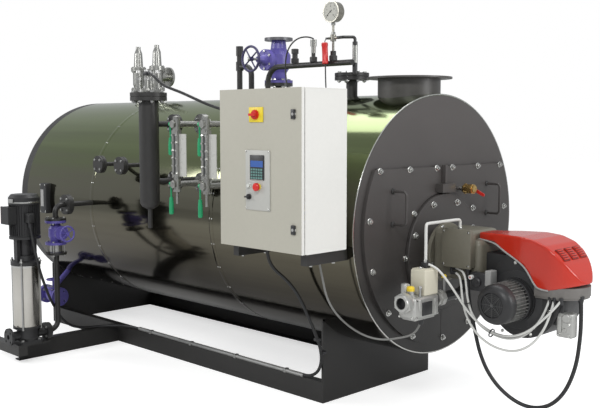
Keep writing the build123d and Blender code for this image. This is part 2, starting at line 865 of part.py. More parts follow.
# Two spring safety valves, each on its nozzle, with the outlet turned away
safety_xs = (-2450.0, -2208.0)
with BuildPart() as safety_valves:
    for x in safety_xs:
        rod((x, 0, axis_height + 500), (x, 0, 1830), 30)
        rod((x, 0, 1812), (x, 0, 1848), 58)
        turned(
            (x, 0, 1848),
            (0, 0, 1),
            [(0, 34), (30, 44), (130, 44), (130, 58), (160, 58), (160, 36), (270, 30), (300, 18), (320, 18)],
        )
        rod((x, 0, 1930), (x, 95, 1930), 32)
        rod((x, 95, 1930), (x, 113, 1930), 75)
        rod((x, 60, 1930), (x, 114, 1930), 24, mode=Mode.SUBTRACT)
        bolt_holes((x, 113, 1930), (0, 1, 0), 55.0, 4, 9.0, 18.0)
    seat_on_drum()
safety_valves.part.label = "safety_valves"
export_step(safety_valves.part, "parts/safety_valves.step")

# Level standpipe, held off the drum by two flanged pipes
standpipe_flange_radius = 105.0
tap_pipe_radius = 17.0
with BuildPart() as standpipe:
    turned(
        (standpipe_x, standpipe_y, standpipe_bottom),
        (0, 0, 1),
        [
            (0, 20),
            (14, 44),
            (34, standpipe_radius),
            (standpipe_top - standpipe_bottom, standpipe_radius),
        ],
    )
    for low in (standpipe_top - 46, standpipe_top - 22):
        rod((standpipe_x, standpipe_y, low), (standpipe_x, standpipe_y, low + 22), standpipe_flange_radius)
    rod((standpipe_x, standpipe_y, 972), (standpipe_x, standpipe_y, standpipe_bottom + 20), 13)
    for height in (upper_tap_height, lower_tap_height):
        rod((standpipe_x, standpipe_y, height), (standpipe_x, -300, height), tap_pipe_radius)
        turned(
            (standpipe_x, tap_flange_y + 36, height),
            (0, -1, 0),
            [
                (0, spare_flange_radius),
                (17, spare_flange_radius),
                (17, spare_flange_radius - 20),
                (19, spare_flange_radius - 20),
                (19, spare_flange_radius),
                (36, spare_flange_radius),
            ],
        )
    seat_on_drum()
standpipe.part.label = "level_standpipe"
export_step(standpipe.part, "parts/level_standpipe.step")

with BuildPart() as electrodes:
    for turn in range(4):
        x = standpipe_x + 55 * cos(turn * pi / 2 + pi / 4)
        y = standpipe_y + 55 * sin(turn * pi / 2 + pi / 4)
        turned((x, y, standpipe_top), (0, 0, 1), [(0, 17), (26, 17), (26, 13), (120, 13), (128, 8)])
electrodes.part.label = "level_electrodes"
export_step(electrodes.part, "parts/level_electrodes.step")

# Two level gauges on taps of their own, each a glass in a frame between two cocks
gauge_xs = (standpipe_x + gauge_pitch, standpipe_x + 2 * gauge_pitch)
glass_half_width = 26.0
with BuildPart() as level_gauges:
    for x in gauge_xs:
        for height in (upper_tap_height, lower_tap_height):
            rod((x, standpipe_y + 20, height), (x, -300, height), tap_pipe_radius)
            turned(
                (x, tap_flange_y + 36, height),
                (0, -1, 0),
                [
                    (0, spare_flange_radius),
                    (17, spare_flange_radius),
                    (17, spare_flange_radius - 20),
                    (19, spare_flange_radius - 20),
                    (19, spare_flange_radius),
                    (36, spare_flange_radius),
                ],
            )
            rod((x, standpipe_y, height - 34), (x, standpipe_y, height + 34), 20)
            rod((x, standpipe_y + 30, height), (x, standpipe_y - 24, height), 15)
            rod((x - 48, standpipe_y, height), (x, standpipe_y, height), 10)
        rod((x, standpipe_y, lower_tap_height - 110), (x, standpipe_y, lower_tap_height), 8)
        block(
            (x - glass_half_width, standpipe_y - 15, lower_tap_height + 34),
            (x + glass_half_width, standpipe_y + 15, upper_tap_height - 34),
        )
        block(
            (x + glass_half_width, standpipe_y - 2, lower_tap_height + 44),
            (x + glass_half_width + 60, standpipe_y + 2, upper_tap_height - 54),
        )
    seat_on_drum()
level_gauges.part.label = "level_gauges"
export_step(level_gauges.part, "parts/level_gauges.step")

# Cock handles of the gauges, hanging down beside them while the cocks are open
handle_gap = 0.3
for x, gauge in zip(gauge_xs, ("1", "2")):
    for height, place in ((upper_tap_height, "upper"), (lower_tap_height, "lower")):
        with BuildPart() as cock_handle:
            stem_x = x - 48 - handle_gap
            rod((stem_x, standpipe_y, height), (stem_x - 14, standpipe_y, height), 11)
            rod((stem_x - 7, standpipe_y, height), (stem_x - 7, standpipe_y, height - 80), 5)
            turned(
                (stem_x - 7, standpipe_y, height - 75),
                (0, 0, -1),
                [(0, 10), (40, 13), (90, 13), (98, 10)],
            )
        cock_handle.part.label = f"gauge_{gauge}_{place}_handle"
        export_step(cock_handle.part, f"parts/gauge_{gauge}_{place}_handle.step")

# Feed pump: in-line base casting, stainless sleeve with its head, and the motor on a lantern
foot_low = beam_height + pump_plate_thickness
with BuildPart() as pump_base:
    block((pump_x - 88, pump_y - 70, foot_low), (pump_x + 60, pump_y + 70, foot_low + 20))
    turned(
        (pump_x, pump_y, foot_low + 20),
        (0, 0, 1),
        [(0, 62), (20, 70), (80, 70), (80, pump_sleeve_radius + 6), (96, pump_sleeve_radius + 6)],
    )
    for side in (-1, 1):
        turned(
            (pump_x, pump_y, pump_port_height),
            (0, side, 0),
            [(40, 30), (pump_port_reach + 12, 30), (pump_port_reach + 12, 57.5), (pump_port_reach + 28, 57.5)],
        )
    block((pump_x - 100, pump_y - 200, foot_low - 100), (pump_x + 100, pump_y + 200, foot_low), mode=Mode.SUBTRACT)
    rod((pump_x, pump_y - 145, pump_port_height), (pump_x, pump_y - 80, pump_port_height), 16, mode=Mode.SUBTRACT)
    bolt_holes((pump_x, pump_y - pump_port_reach - 28, pump_port_height), (0, -1, 0), 42.5, 4, 7.0, 16.0)
pump_base.part.label = "pump_base"
export_step(pump_base.part, "parts/pump_base.step")

head_low = 654.0
sleeve_low = foot_low + 116
with BuildPart() as pump_sleeve:
    turned(
        (pump_x, pump_y, sleeve_low),
        (0, 0, 1),
        [(0, pump_sleeve_radius), (head_low - sleeve_low, pump_sleeve_radius)],
    )
pump_sleeve.part.label = "pump_sleeve"
export_step(pump_sleeve.part, "parts/pump_sleeve.step")

motor_low = 827.0
with BuildPart() as pump_head:
    turned((pump_x, pump_y, head_low), (0, 0, 1), [(0, 96), (22, 96), (30, 60), (60, 56), (60, 40), (motor_low - head_low, 40)])
    for side in (-1, 1):
        block(
            (pump_x - 22, pump_y + side * 58 - 12, head_low + 22),
            (pump_x + 22, pump_y + side * 58 + 12, motor_low),
        )
pump_head.part.label = "pump_head"
export_step(pump_head.part, "parts/pump_head.step")

with BuildPart() as pump_motor:
    turned(
        (pump_x, pump_y, motor_low),
        (0, 0, 1),
        [(0, 100), (16, 100), (16, 90), (224, 90), (224, 100), (270, 100), (290, 84)],
    )
    block((pump_x - 50, pump_y - 140, 930), (pump_x + 50, pump_y - 80, 1040))
pump_motor.part.label = "pump_motor"
export_step(pump_motor.part, "parts/pump_motor.step")

# Feed pipe from the pump's outlet up to the feed valve, and from there into the drum
feed_valve_low = 711.0
feed_valve_height = 847.0
feed_valve_top = 928.0
port_face_y = pump_y + pump_port_reach + 28
with BuildPart() as feed_pipe:
    rod((pump_x, port_face_y, pump_port_height), (pump_x, port_face_y + 18, pump_port_height), 55)
    pipe(
        [
            (pump_x, port_face_y + 18, pump_port_height),
            (pump_x, feed_pipe_y, pump_port_height),
            (pump_x, feed_pipe_y, feed_valve_low - 14),
        ],
        feed_pipe_radius,
        60.0,
    )
    rod((pump_x, feed_pipe_y, feed_valve_low - 14), (pump_x, feed_pipe_y, feed_valve_low), 70)
    rod((pump_x, feed_pipe_y, feed_valve_top), (pump_x, feed_pipe_y, feed_valve_top + 14), 70)
    pipe(
        [
            (pump_x, feed_pipe_y, feed_valve_top + 14),
            (pump_x, feed_pipe_y, feed_height),
            (pump_x, feed_flange_y - 16, feed_height),
        ],
        feed_pipe_radius,
        50.0,
    )
    rod((pump_x, feed_flange_y - 18, feed_height), (pump_x, feed_flange_y + 18, feed_height), 68)
    rod((pump_x, feed_flange_y + 18, feed_height), (pump_x, -300, feed_height), feed_pipe_radius)
    seat_on_drum()
feed_pipe.part.label = "feed_pipe"
export_step(feed_pipe.part, "parts/feed_pipe.step")

feed_wheel_x = pump_x + 150
small_hub_length = 22.0
with BuildPart() as feed_valve:
    turned(
        (pump_x, feed_pipe_y, feed_valve_low),
        (0, 0, 1),
        [(0, 38), (54, 38), (54, 70), (70, 70), (70, 30), (110, 48), (160, 48), (190, 30), (201, 30), (201, 70), (feed_valve_top - feed_valve_low, 70)],
    )
    rod((pump_x, feed_pipe_y, feed_valve_height), (pump_x + 84, feed_pipe_y, feed_valve_height), 34)
    rod((pump_x + 68, feed_pipe_y, feed_valve_height), (pump_x + 84, feed_pipe_y, feed_valve_height), 48)
    rod(
        (pump_x + 84, feed_pipe_y, feed_valve_height),
        (feed_wheel_x - small_hub_length / 2 - running_gap, feed_pipe_y, feed_valve_height),
        8,
    )
feed_valve.part.label = "feed_valve"
export_step(feed_valve.part, "parts/feed_valve.step")

with BuildPart() as feed_wheel:
    handwheel((feed_wheel_x, feed_pipe_y, feed_valve_height), (1, 0, 0), 56, 6.0, 4, small_hub_length)
feed_wheel.part.label = "feed_valve_wheel"
export_step(feed_wheel.part, "parts/feed_valve_wheel.step")

# Blow-down valve low at the rear, its outlet flange towards the burner end
drain_y = -640.0
drain_height = 268.0
drain_valve_x = -2700.0
drain_half_length = 100.0
drain_wheel_height = drain_height + 122
with BuildPart() as drain_valve:
    pipe(
        [
            (drain_valve_x - drain_half_length - 14, drain_y, drain_height),
            (drain_valve_x - drain_half_length - 90, drain_y, drain_height),
            (drain_valve_x - drain_half_length - 90, drain_y + 90, drain_height),
            (drain_valve_x - drain_half_length - 90, -100, drain_height + 420),
        ],
        20.0,
        40.0,
    )
    for side in (-1, 1):
        turned(
            (drain_valve_x, drain_y, drain_height),
            (side, 0, 0),
            [(0, 46), (30, 46), (60, 28), (drain_half_length - 16, 28), (drain_half_length - 16, 70), (drain_half_length, 70)],
        )
    rod(
        (drain_valve_x - drain_half_length, drain_y, drain_height),
        (drain_valve_x - drain_half_length - 16, drain_y, drain_height),
        70,
    )
    bolt_holes((drain_valve_x + drain_half_length, drain_y, drain_height), (1, 0, 0), 50.0, 4, 9.0, 16.0)
    rod((drain_valve_x, drain_y, drain_height), (drain_valve_x, drain_y, drain_height + 66), 34)
    rod((drain_valve_x, drain_y, drain_height + 52), (drain_valve_x, drain_y, drain_height + 68), 46)
    rod(
        (drain_valve_x, drain_y, drain_height + 68),
        (drain_valve_x, drain_y, drain_wheel_height - small_hub_length / 2 - running_gap),
        8,
    )
    seat_on_drum()
drain_valve.part.label = "blow_down_valve"
export_step(drain_valve.part, "parts/blow_down_valve.step")

with BuildPart() as drain_wheel:
    handwheel((drain_valve_x, drain_y, drain_wheel_height), (0, 0, 1), 52, 6.0, 4, small_hub_length)
drain_wheel.part.label = "blow_down_wheel"
export_step(drain_wheel.part, "parts/blow_down_wheel.step")
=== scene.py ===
import math
import bpy
from mathutils import Matrix, Vector


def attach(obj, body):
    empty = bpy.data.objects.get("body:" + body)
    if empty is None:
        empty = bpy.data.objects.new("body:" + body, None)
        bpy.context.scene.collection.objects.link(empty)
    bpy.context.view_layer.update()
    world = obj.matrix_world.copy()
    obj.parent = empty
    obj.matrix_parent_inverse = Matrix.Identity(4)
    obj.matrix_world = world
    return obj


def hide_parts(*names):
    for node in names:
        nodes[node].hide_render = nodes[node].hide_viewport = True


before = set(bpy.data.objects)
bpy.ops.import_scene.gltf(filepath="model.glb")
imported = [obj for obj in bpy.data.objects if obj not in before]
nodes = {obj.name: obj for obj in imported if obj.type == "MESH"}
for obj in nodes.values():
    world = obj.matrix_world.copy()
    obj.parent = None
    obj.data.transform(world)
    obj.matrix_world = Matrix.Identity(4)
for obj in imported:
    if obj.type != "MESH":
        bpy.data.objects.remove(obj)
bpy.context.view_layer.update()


# Room and camera
# The boiler stands alone on a pale studio floor. The camera stands off the front
# left corner at eye height, with the lens that the photograph was taken with.
def place_camera():
    lens = bpy.data.cameras.new("camera")
    camera = bpy.data.objects.new("camera", lens)
    bpy.context.collection.objects.link(camera)
    camera.location = (3.373, -4.028, 1.577)
    camera.rotation_euler = (math.radians(90 - 5.2007), 0, math.radians(45.097))
    film_width = 36.0
    focal_pixels = 885.86
    photo_width = 600
    lens.sensor_width = film_width
    lens.lens = film_width * focal_pixels / photo_width
    lens.clip_end = 100.0
    bpy.context.scene.camera = camera


def soft_lamp(name, place, target, size, power):
    lamp = bpy.data.lights.new(name, "AREA")
    lamp.shape = "RECTANGLE"
    lamp.size, lamp.size_y = size
    lamp.energy = power
    holder = bpy.data.objects.new(name, lamp)
    bpy.context.collection.objects.link(holder)
    holder.location = place
    facing = Vector(target) - Vector(place)
    holder.rotation_euler = facing.to_track_quat("-Z", "Y").to_euler()


place_camera()
soft_lamp("key_lamp", (3.5, -5.5, 5.2), (-0.8, 0.0, 0.9), (3.4, 0.9), 205)
soft_lamp("side_lamp", (-5.0, -5.0, 3.6), (-1.4, 0.0, 1.0), (3.0, 1.2), 110)
soft_lamp("front_lamp", (6.0, 1.5, 3.0), (0.5, 0.0, 1.0), (2.5, 2.5), 130)
soft_lamp("top_lamp", (-1.2, 0.5, 5.5), (-1.2, 0.0, 1.0), (5.0, 2.0), 110)


# Floor and backdrop
# A white floor that keeps the boiler's shadow, and a plain white room. Seen straight
# or in a mirror the room is white, and it lights the boiler softly.
def white_room(strength):
    world = bpy.data.worlds.new("studio")
    bpy.context.scene.world = world
    world.use_nodes = True
    tree = world.node_tree
    tree.nodes.clear()
    rays = tree.nodes.new("ShaderNodeLightPath")
    lit = tree.nodes.new("ShaderNodeBackground")
    seen = tree.nodes.new("ShaderNodeBackground")
    mix = tree.nodes.new("ShaderNodeMixShader")
    output = tree.nodes.new("ShaderNodeOutputWorld")
    lit.inputs["Color"].default_value = (0.95, 0.97, 1.0, 1)
    lit.inputs["Strength"].default_value = strength
    seen.inputs["Color"].default_value = (1, 1, 1, 1)
    seen.inputs["Strength"].default_value = 1.0
    tree.links.new(rays.outputs["Is Camera Ray"], mix.inputs["Fac"])
    tree.links.new(lit.outputs["Background"], mix.inputs[1])
    tree.links.new(seen.outputs["Background"], mix.inputs[2])
    tree.links.new(mix.outputs["Shader"], output.inputs["Surface"])


def studio_floor(reach, glow):
    bpy.ops.object.select_all(action="DESELECT")
    bpy.ops.mesh.primitive_plane_add(size=2 * reach, location=(-1.0, 0.0, -0.001))
    floor = bpy.context.object
    floor.name = "studio_floor"
    surface = bpy.data.materials.new("studio_floor_paint")
    surface.use_nodes = True
    tree = surface.node_tree
    shader = tree.nodes["Principled BSDF"]
    shader.inputs["Base Color"].default_value = (0.74, 0.74, 0.73, 1)
    shader.inputs["Roughness"].default_value = 0.9
    rays = tree.nodes.new("ShaderNodeLightPath")
    light = tree.nodes.new("ShaderNodeEmission")
    both = tree.nodes.new("ShaderNodeAddShader")
    mix = tree.nodes.new("ShaderNodeMixShader")
    light.inputs["Strength"].default_value = glow
    tree.links.new(shader.outputs["BSDF"], both.inputs[0])
    tree.links.new(light.outputs["Emission"], both.inputs[1])
    tree.links.new(rays.outputs["Is Camera Ray"], mix.inputs["Fac"])
    tree.links.new(shader.outputs["BSDF"], mix.inputs[1])
    tree.links.new(both.outputs["Shader"], mix.inputs[2])
    tree.links.new(mix.outputs["Shader"], tree.nodes["Material Output"].inputs["Surface"])
    floor.data.materials.append(surface)


white_room(0.55)
studio_floor(30.0, 0.62)


# Cables
# Rubber-sheathed flex between the cabinet, the burner's controls, the feed pump and the
# level electrodes. Each hangs from a gland at both ends; the burner's own cables are white.
class Value:
    """A shader socket that plain arithmetic works on, adding its Math nodes."""

    def __init__(self, tree, socket):
        self.tree = tree
        self.socket = socket

    def combine(self, operation, first, second):
        node = self.tree.nodes.new("ShaderNodeMath")
        node.operation = operation
        for place, value in enumerate((first, second)):
            if isinstance(value, Value):
                self.tree.links.new(value.socket, node.inputs[place])
            else:
                node.inputs[place].default_value = value
        return Value(self.tree, node.outputs[0])

    def __add__(self, other):
        return self.combine("ADD", self, other)

    def __radd__(self, other):
        return self.combine("ADD", other, self)

    def __sub__(self, other):
        return self.combine("SUBTRACT", self, other)

    def __rsub__(self, other):
        return self.combine("SUBTRACT", other, self)

    def __mul__(self, other):
        return self.combine("MULTIPLY", self, other)

    def __rmul__(self, other):
        return self.combine("MULTIPLY", other, self)

    def __gt__(self, other):
        return self.combine("GREATER_THAN", self, other)

    def __lt__(self, other):
        return self.combine("LESS_THAN", self, other)


class Finish:
    """One material: add() makes a node and use() feeds the shader."""

    def __init__(self, name, **fixed):
        self.material = bpy.data.materials.new(name)
        self.material.use_nodes = True
        self.tree = self.material.node_tree
        self.shader = self.tree.nodes["Principled BSDF"]
        for socket, value in fixed.items():
            self.shader.inputs[socket.replace("_", " ")].default_value = value
        self.place = self.add("TexCoord", output="Object")

    def add(self, kind, output=0, settings=None, stops=None, **sockets):
        node = self.tree.nodes.new("ShaderNode" + kind)
        for setting, value in (settings or {}).items():
            setattr(node, setting, value)
        if stops:
            ramp = node.color_ramp
            while len(ramp.elements) < len(stops):
                ramp.elements.new(0.5)
            for element, (position, colour) in zip(ramp.elements, stops):
                element.position = position
                element.color = (*colour, 1)
        for socket, value in sockets.items():
            name = socket.replace("_", " ")
            wanted = node.inputs[int(name[1:])] if name[1:].isdigit() else node.inputs[name]
            if isinstance(value, Value):
                self.tree.links.new(value.socket, wanted)
            else:
                wanted.default_value = value
        return Value(self.tree, node.outputs[output])

    def use(self, **sockets):
        for socket, value in sockets.items():
            self.tree.links.new(value.socket, self.shader.inputs[socket.replace("_", " ")])
        return self.material

    def stretched(self, scale):
        return self.add("Mapping", Vector=self.place, Scale=scale)

    def noise(self, scale, detail=3.0, vector=None):
        return self.add("TexNoise", Scale=scale, Detail=detail, Vector=vector or self.place)

    def ramp(self, value, *stops):
        return self.add("ValToRGB", stops=stops, Fac=value)

    def blend(self, amount, first, second):
        """A colour between two colours, each a link or three numbers."""
        sides = [side if isinstance(side, Value) else (*side, 1) for side in (first, second)]
        return self.add("Mix", output=2, settings={"data_type": "RGBA"}, n0=amount, n6=sides[0],
                        n7=sides[1])

    def bump(self, height, strength, distance):
        return self.add("Bump", Height=height, Strength=strength, Distance=distance)

    def inside(self, low, high):
        """A mask that is 1 between two corners of the object's space."""
        mask = None
        for axis, start, end in zip("XYZ", low, high):
            if start is None:
                continue
            reach = self.add("SeparateXYZ", output=axis, Vector=self.place)
            part = (reach > start) * (reach < end)
            mask = part if mask is None else mask * part
        return mask


def enamel(name, colour, roughness, drift=0.12, grain=0.00015, metal=0.0, coat=0.0, zones=()):
    """Brushed or sprayed finish. A zone is a box of the same piece in another colour."""
    finish = Finish(name, Coat_Weight=coat)
    broad = finish.noise(2.6)
    fine = finish.noise(46.0, 6.0)
    shade = finish.ramp(
        broad * 0.55 + fine * 0.45,
        (0.32, [c * (1 - drift) for c in colour]),
        (0.68, [min(1.0, c * (1 + drift)) for c in colour]),
    )
    rough = fine * 0.22 + (roughness - 0.11)
    if not zones:
        finish.shader.inputs["Metallic"].default_value = metal
        return finish.use(
            Base_Color=shade, Roughness=rough, Normal=finish.bump(finish.noise(420.0, 2.0), 0.35, grain)
        )
    shine = None
    for low, high, zone_colour, zone_metal in zones:
        mask = finish.inside(low, high)
        shade = finish.blend(mask, shade, zone_colour)
        step = mask * (zone_metal - metal)
        shine = step + metal if shine is None else shine + step
    return finish.use(
        Base_Color=shade,
        Roughness=rough,
        Metallic=shine,
        Normal=finish.bump(finish.noise(420.0, 2.0), 0.35, grain),
    )


def drawn(name, points, kind="NURBS", space="3D"):
    """A curve through points: its object, its line and its one run."""
    line = bpy.data.curves.new(name, "CURVE")
    line.dimensions = space
    run = line.splines.new(kind)
    run.points.add(len(points) - 1)
    for knot, place in zip(run.points, points):
        knot.co = (*place, 1)
    piece = bpy.data.objects.new(name, line)
    bpy.context.collection.objects.link(piece)
    return piece, line, run


def cable(name, points, thickness, sheath):
    """A hanging cable along its route's points, from one housing to another."""
    piece, line, run = drawn(name, points)
    run.order_u = 3
    run.use_endpoint_u = True
    line.bevel_depth = thickness / 2
    line.bevel_resolution = 4
    line.resolution_u = 10
    line.materials.append(sheath)
    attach(piece, "root")


black_sheath = enamel("black_sheath", (0.018, 0.018, 0.019), 0.45, grain=0.0001)
white_sheath = enamel("white_sheath", (0.66, 0.66, 0.63), 0.42, drift=0.05, grain=0.0001)
grey_sheath = enamel("grey_sheath", (0.20, 0.20, 0.19), 0.42, drift=0.05, grain=0.0001)
burner_lead_route = [
    (1.318, -0.040, 0.722), (1.322, -0.040, 0.640), (1.320, -0.040, 0.530), (1.306, -0.046, 0.384),
    (1.262, -0.060, 0.252), (1.194, -0.074, 0.168), (1.110, -0.092, 0.135), (1.020, -0.109, 0.148),
    (0.928, -0.127, 0.204), (0.858, -0.141, 0.286), (0.815, -0.150, 0.381), (0.791, -0.155, 0.476),
    (0.771, -0.160, 0.566), (0.753, -0.164, 0.650), (0.746, -0.165, 0.735), (0.745, -0.165, 0.806),
]
upper_cable_route = [
    (0.664, -0.165, 0.814), (0.706, -0.170, 0.811), (0.741, -0.186, 0.780), (0.758, -0.199, 0.733),
    (0.770, -0.203, 0.665), (0.797, -0.206, 0.594), (0.850, -0.207, 0.541), (0.928, -0.207, 0.507),
    (1.013, -0.202, 0.495), (1.092, -0.188, 0.520), (1.150, -0.166, 0.580), (1.185, -0.146, 0.650),
    (1.203, -0.136, 0.718),
]
coil_cable_route = [
    (0.668, -0.407, 0.861), (0.704, -0.394, 0.851), (0.738, -0.362, 0.798), (0.770, -0.322, 0.725),
    (0.800, -0.284, 0.650), (0.838, -0.250, 0.584), (0.900, -0.234, 0.538), (0.975, -0.226, 0.514),
    (1.050, -0.214, 0.517), (1.120, -0.196, 0.550), (1.176, -0.174, 0.605), (1.228, -0.160, 0.662),
    (1.262, -0.133, 0.716),
]
lower_cable_route = [
    (0.664, -0.165, 0.788), (0.694, -0.176, 0.783), (0.722, -0.197, 0.752), (0.740, -0.214, 0.700),
    (0.760, -0.226, 0.630), (0.800, -0.232, 0.552), (0.866, -0.232, 0.486), (0.955, -0.228, 0.447),
    (1.052, -0.216, 0.440), (1.130, -0.196, 0.476), (1.182, -0.172, 0.545), (1.212, -0.150, 0.628),
    (1.226, -0.134, 0.716),
]
gas_cable_route = [
    (0.300, -0.840, 0.948), (0.302, -0.830, 0.880), (0.303, -0.808, 0.795), (0.300, -0.775, 0.690),
    (0.308, -0.715, 0.597), (0.332, -0.625, 0.512), (0.392, -0.560, 0.462), (0.470, -0.520, 0.452),
    (0.550, -0.488, 0.472), (0.610, -0.472, 0.492), (0.648, -0.460, 0.530), (0.662, -0.456, 0.575),
]
electrode_cable_route = [
    (-0.808, -1.074, 1.858), (-0.768, -1.073, 1.850), (-0.730, -1.068, 1.822), (-0.690, -1.058, 1.790),
    (-0.635, -1.046, 1.770), (-0.565, -1.030, 1.748), (-0.490, -1.015, 1.720), (-0.425, -0.998, 1.694),
    (-0.365, -0.980, 1.672), (-0.305, -0.965, 1.655), (-0.248, -0.958, 1.645), (-0.190, -0.955, 1.642),
]
pump_cable_route = [
    (-0.024, -0.890, 0.948), (-0.026, -0.886, 0.885), (-0.022, -0.850, 0.812), (0.000, -0.785, 0.756),
    (0.028, -0.735, 0.690), (0.042, -0.690, 0.610), (0.042, -0.640, 0.520), (0.026, -0.575, 0.425),
    (0.018, -0.525, 0.335), (0.014, -0.508, 0.255), (-0.015, -0.502, 0.185), (-0.085, -0.494, 0.140),
    (-0.190, -0.482, 0.130), (-1.760, -0.478, 0.130), (-1.900, -0.490, 0.131), (-2.000, -0.540, 0.131),
    (-2.060, -0.640, 0.131), (-2.078, -0.760, 0.136), (-2.080, -0.860, 0.165), (-2.062, -0.940, 0.235),
    (-2.030, -1.002, 0.318), (-1.966, -1.080, 0.412), (-1.912, -1.145, 0.520), (-1.878, -1.195, 0.625),
    (-1.870, -1.222, 0.725), (-1.870, -1.238, 0.815), (-1.874, -1.250, 0.890), (-1.876, -1.254, 0.940),
]
sensor_cable_route = [
    (-0.403, -0.150, 2.085), (-0.430, -0.158, 2.100), (-0.500, -0.185, 2.096), (-0.560, -0.200, 2.050),
    (-0.588, -0.205, 1.980), (-0.588, -0.208, 1.890), (-0.566, -0.213, 1.800), (-0.550, -0.215, 1.710),
]
alarm_lead_route = [
    (-0.262, -0.194, 1.925), (-0.258, -0.197, 1.860), (-0.250, -0.201, 1.780), (-0.244, -0.203, 1.712),
]
cable("burner_lead", burner_lead_route, 0.020, black_sheath)
cable("burner_cable_1", upper_cable_route, 0.012, white_sheath)
cable("burner_cable_2", coil_cable_route, 0.012, white_sheath)
cable("burner_cable_3", lower_cable_route, 0.012, white_sheath)
cable("gas_valve_cable", gas_cable_route, 0.011, grey_sheath)
cable("electrode_cable", electrode_cable_route, 0.016, black_sheath)
cable("pump_cable", pump_cable_route, 0.018, black_sheath)
cable("sensor_cable", sensor_cable_route, 0.009, black_sheath)
cable("alarm_lead", alarm_lead_route, 0.008, black_sheath)


# Cable glands and ties
# A moulded nut and a tapered rubber boot where each cable leaves a housing, and nylon
# ties that bind the burner's three white cables into one bundle.
up, down = (0, 0, 1), (0, 0, -1)
front, rear = (1, 0, 0), (-1, 0, 0)
near, far = (0, -1, 0), (0, 1, 0)


def pick(*pieces):
    """Selects these pieces alone, with the first of them active."""
    bpy.ops.object.select_all(action="DESELECT")
    for piece in pieces:
        piece.select_set(True)
    bpy.context.view_layer.objects.active = pieces[0]


def joined(pieces):
    pick(*pieces)
    if len(pieces) > 1:
        bpy.ops.object.join()
    return pieces[0]


def turned(stations, sides=32, hollow=False):
    """A turned piece on the Z axis: each station is its height and the radius reached there.
    A hollow piece has its stations run round its wall and back to the first."""
    bpy.ops.object.select_all(action="DESELECT")
    height, radius = stations[0]
    ends = "NOTHING" if hollow else "NGON"
    bpy.ops.mesh.primitive_circle_add(vertices=sides, radius=radius, fill_type=ends,
                                      location=(0, 0, height))
    piece = bpy.context.object
    bpy.ops.object.transform_apply(location=True)
    bpy.ops.object.mode_set(mode="EDIT")
    bpy.ops.mesh.select_all(action="SELECT")
    for next_height, next_radius in stations[1:] + (stations[:1] if hollow else []):
        rise = (0, 0, next_height - height)
        bpy.ops.mesh.extrude_region_move(TRANSFORM_OT_translate={"value": rise})
        scale = next_radius / radius
        bpy.ops.transform.resize(value=(scale, scale, 1), center_override=(0, 0, next_height))
        height, radius = next_height, next_radius
    bpy.ops.mesh.select_all(action="SELECT")
    bpy.ops.mesh.remove_doubles(threshold=0.00001)
    bpy.ops.mesh.normals_make_consistent(inside=False)
    bpy.ops.object.mode_set(mode="OBJECT")
    return piece


def stand(piece, at, facing=up, spin=0.0):
    """Sets a piece made on the Z axis at a place, with its top turned to a direction."""
    way = Vector(facing).to_track_quat("Z", "Y").to_matrix().to_4x4()
    piece.data.transform(Matrix.Translation(at) @ way @ Matrix.Rotation(spin, 4, "Z"))
    return piece


def coat(piece, finish):
    piece.data.materials.clear()
    piece.data.materials.append(finish)
    return piece


def assemble(name, pieces, body="root", instead_of=()):
    """Joins worked pieces into one, smooths its round faces and puts it on its body."""
    whole = joined(pieces)
    bpy.ops.object.shade_smooth_by_angle(angle=math.radians(32))
    whole.name = name
    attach(whole, body)
    if instead_of:
        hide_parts(*instead_of)


def round_part(finish, at, facing, stations, sides=32, hollow=False):
    """A turned piece with its finish, standing at its place."""
    return coat(stand(turned(stations, sides, hollow), at, facing), finish)


def copies(master, places, finish, spin=0.4):
    """A copy of one worked piece at each place, facing its way and turned a spin more
    than the one before; the master is used up."""
    made = []
    for count, (at, facing) in enumerate(places):
        copy = master.copy()
        copy.data = master.data.copy()
        bpy.context.collection.objects.link(copy)
        made.append(coat(stand(copy, at, facing, spin * count), finish))
    bpy.data.objects.remove(master)
    return made


def gland(radius):
    """A gland: a hexagon nut, then the tapered boot that the cable leaves."""
    nut = turned([(0, 1.7 * radius), (0.010, 1.7 * radius), (0.013, 1.45 * radius)], 6)
    boot = turned([(0.010, 1.4 * radius), (0.022, 1.35 * radius), (0.034, 1.12 * radius)], 20)
    return joined([nut, boot])


moulded_black = enamel("moulded_black", (0.025, 0.025, 0.027), 0.4)
grey_glands = copies(gland(0.009), [
    ((0.300, -0.840, 0.9485), (0, -0.05, -1)),
    ((-0.024, -0.890, 0.9485), (0, 0.05, -1)),
    ((-1.876, -1.254, 0.9405), down),
    ((0.662, -0.456, 0.590), down),
], moulded_black)
side_glands = copies(gland(0.008), [
    ((-0.1895, -0.955, 1.642), (-1, 0, 0.05)),
    ((0.160, -0.890, 0.9485), down),
    ((0.060, -0.800, 0.9485), down),
], moulded_black)
lead_glands = copies(gland(0.010), [
    ((0.745, -0.165, 0.823), down),
    ((1.318, -0.040, 0.735), down),
], moulded_black)
tray_glands = copies(gland(0.006), [
    ((1.203, -0.136, 0.730), (0.1, 0, -1)),
    ((1.226, -0.134, 0.730), (0.1, 0, -1)),
    ((1.262, -0.133, 0.730), (0.1, 0, -1)),
], moulded_black)
assemble("cable_glands", grey_glands + side_glands + lead_glands + tray_glands)


def tie(centre, facing, radius, width):
    """A nylon tie: a round band with a hollow middle."""
    half = width / 2
    wall = [(-half, radius), (half, radius), (half, 0.86 * radius), (-half, 0.86 * radius)]
    return round_part(moulded_black, centre, facing, wall, 28, hollow=True)


assemble("cable_ties", [
    tie((0.767, -0.214, 0.645), (0.25, 0, -1), 0.0240, 0.005),
    tie((0.929, -0.219, 0.517), (1, 0, -0.30), 0.0235, 0.006),
])


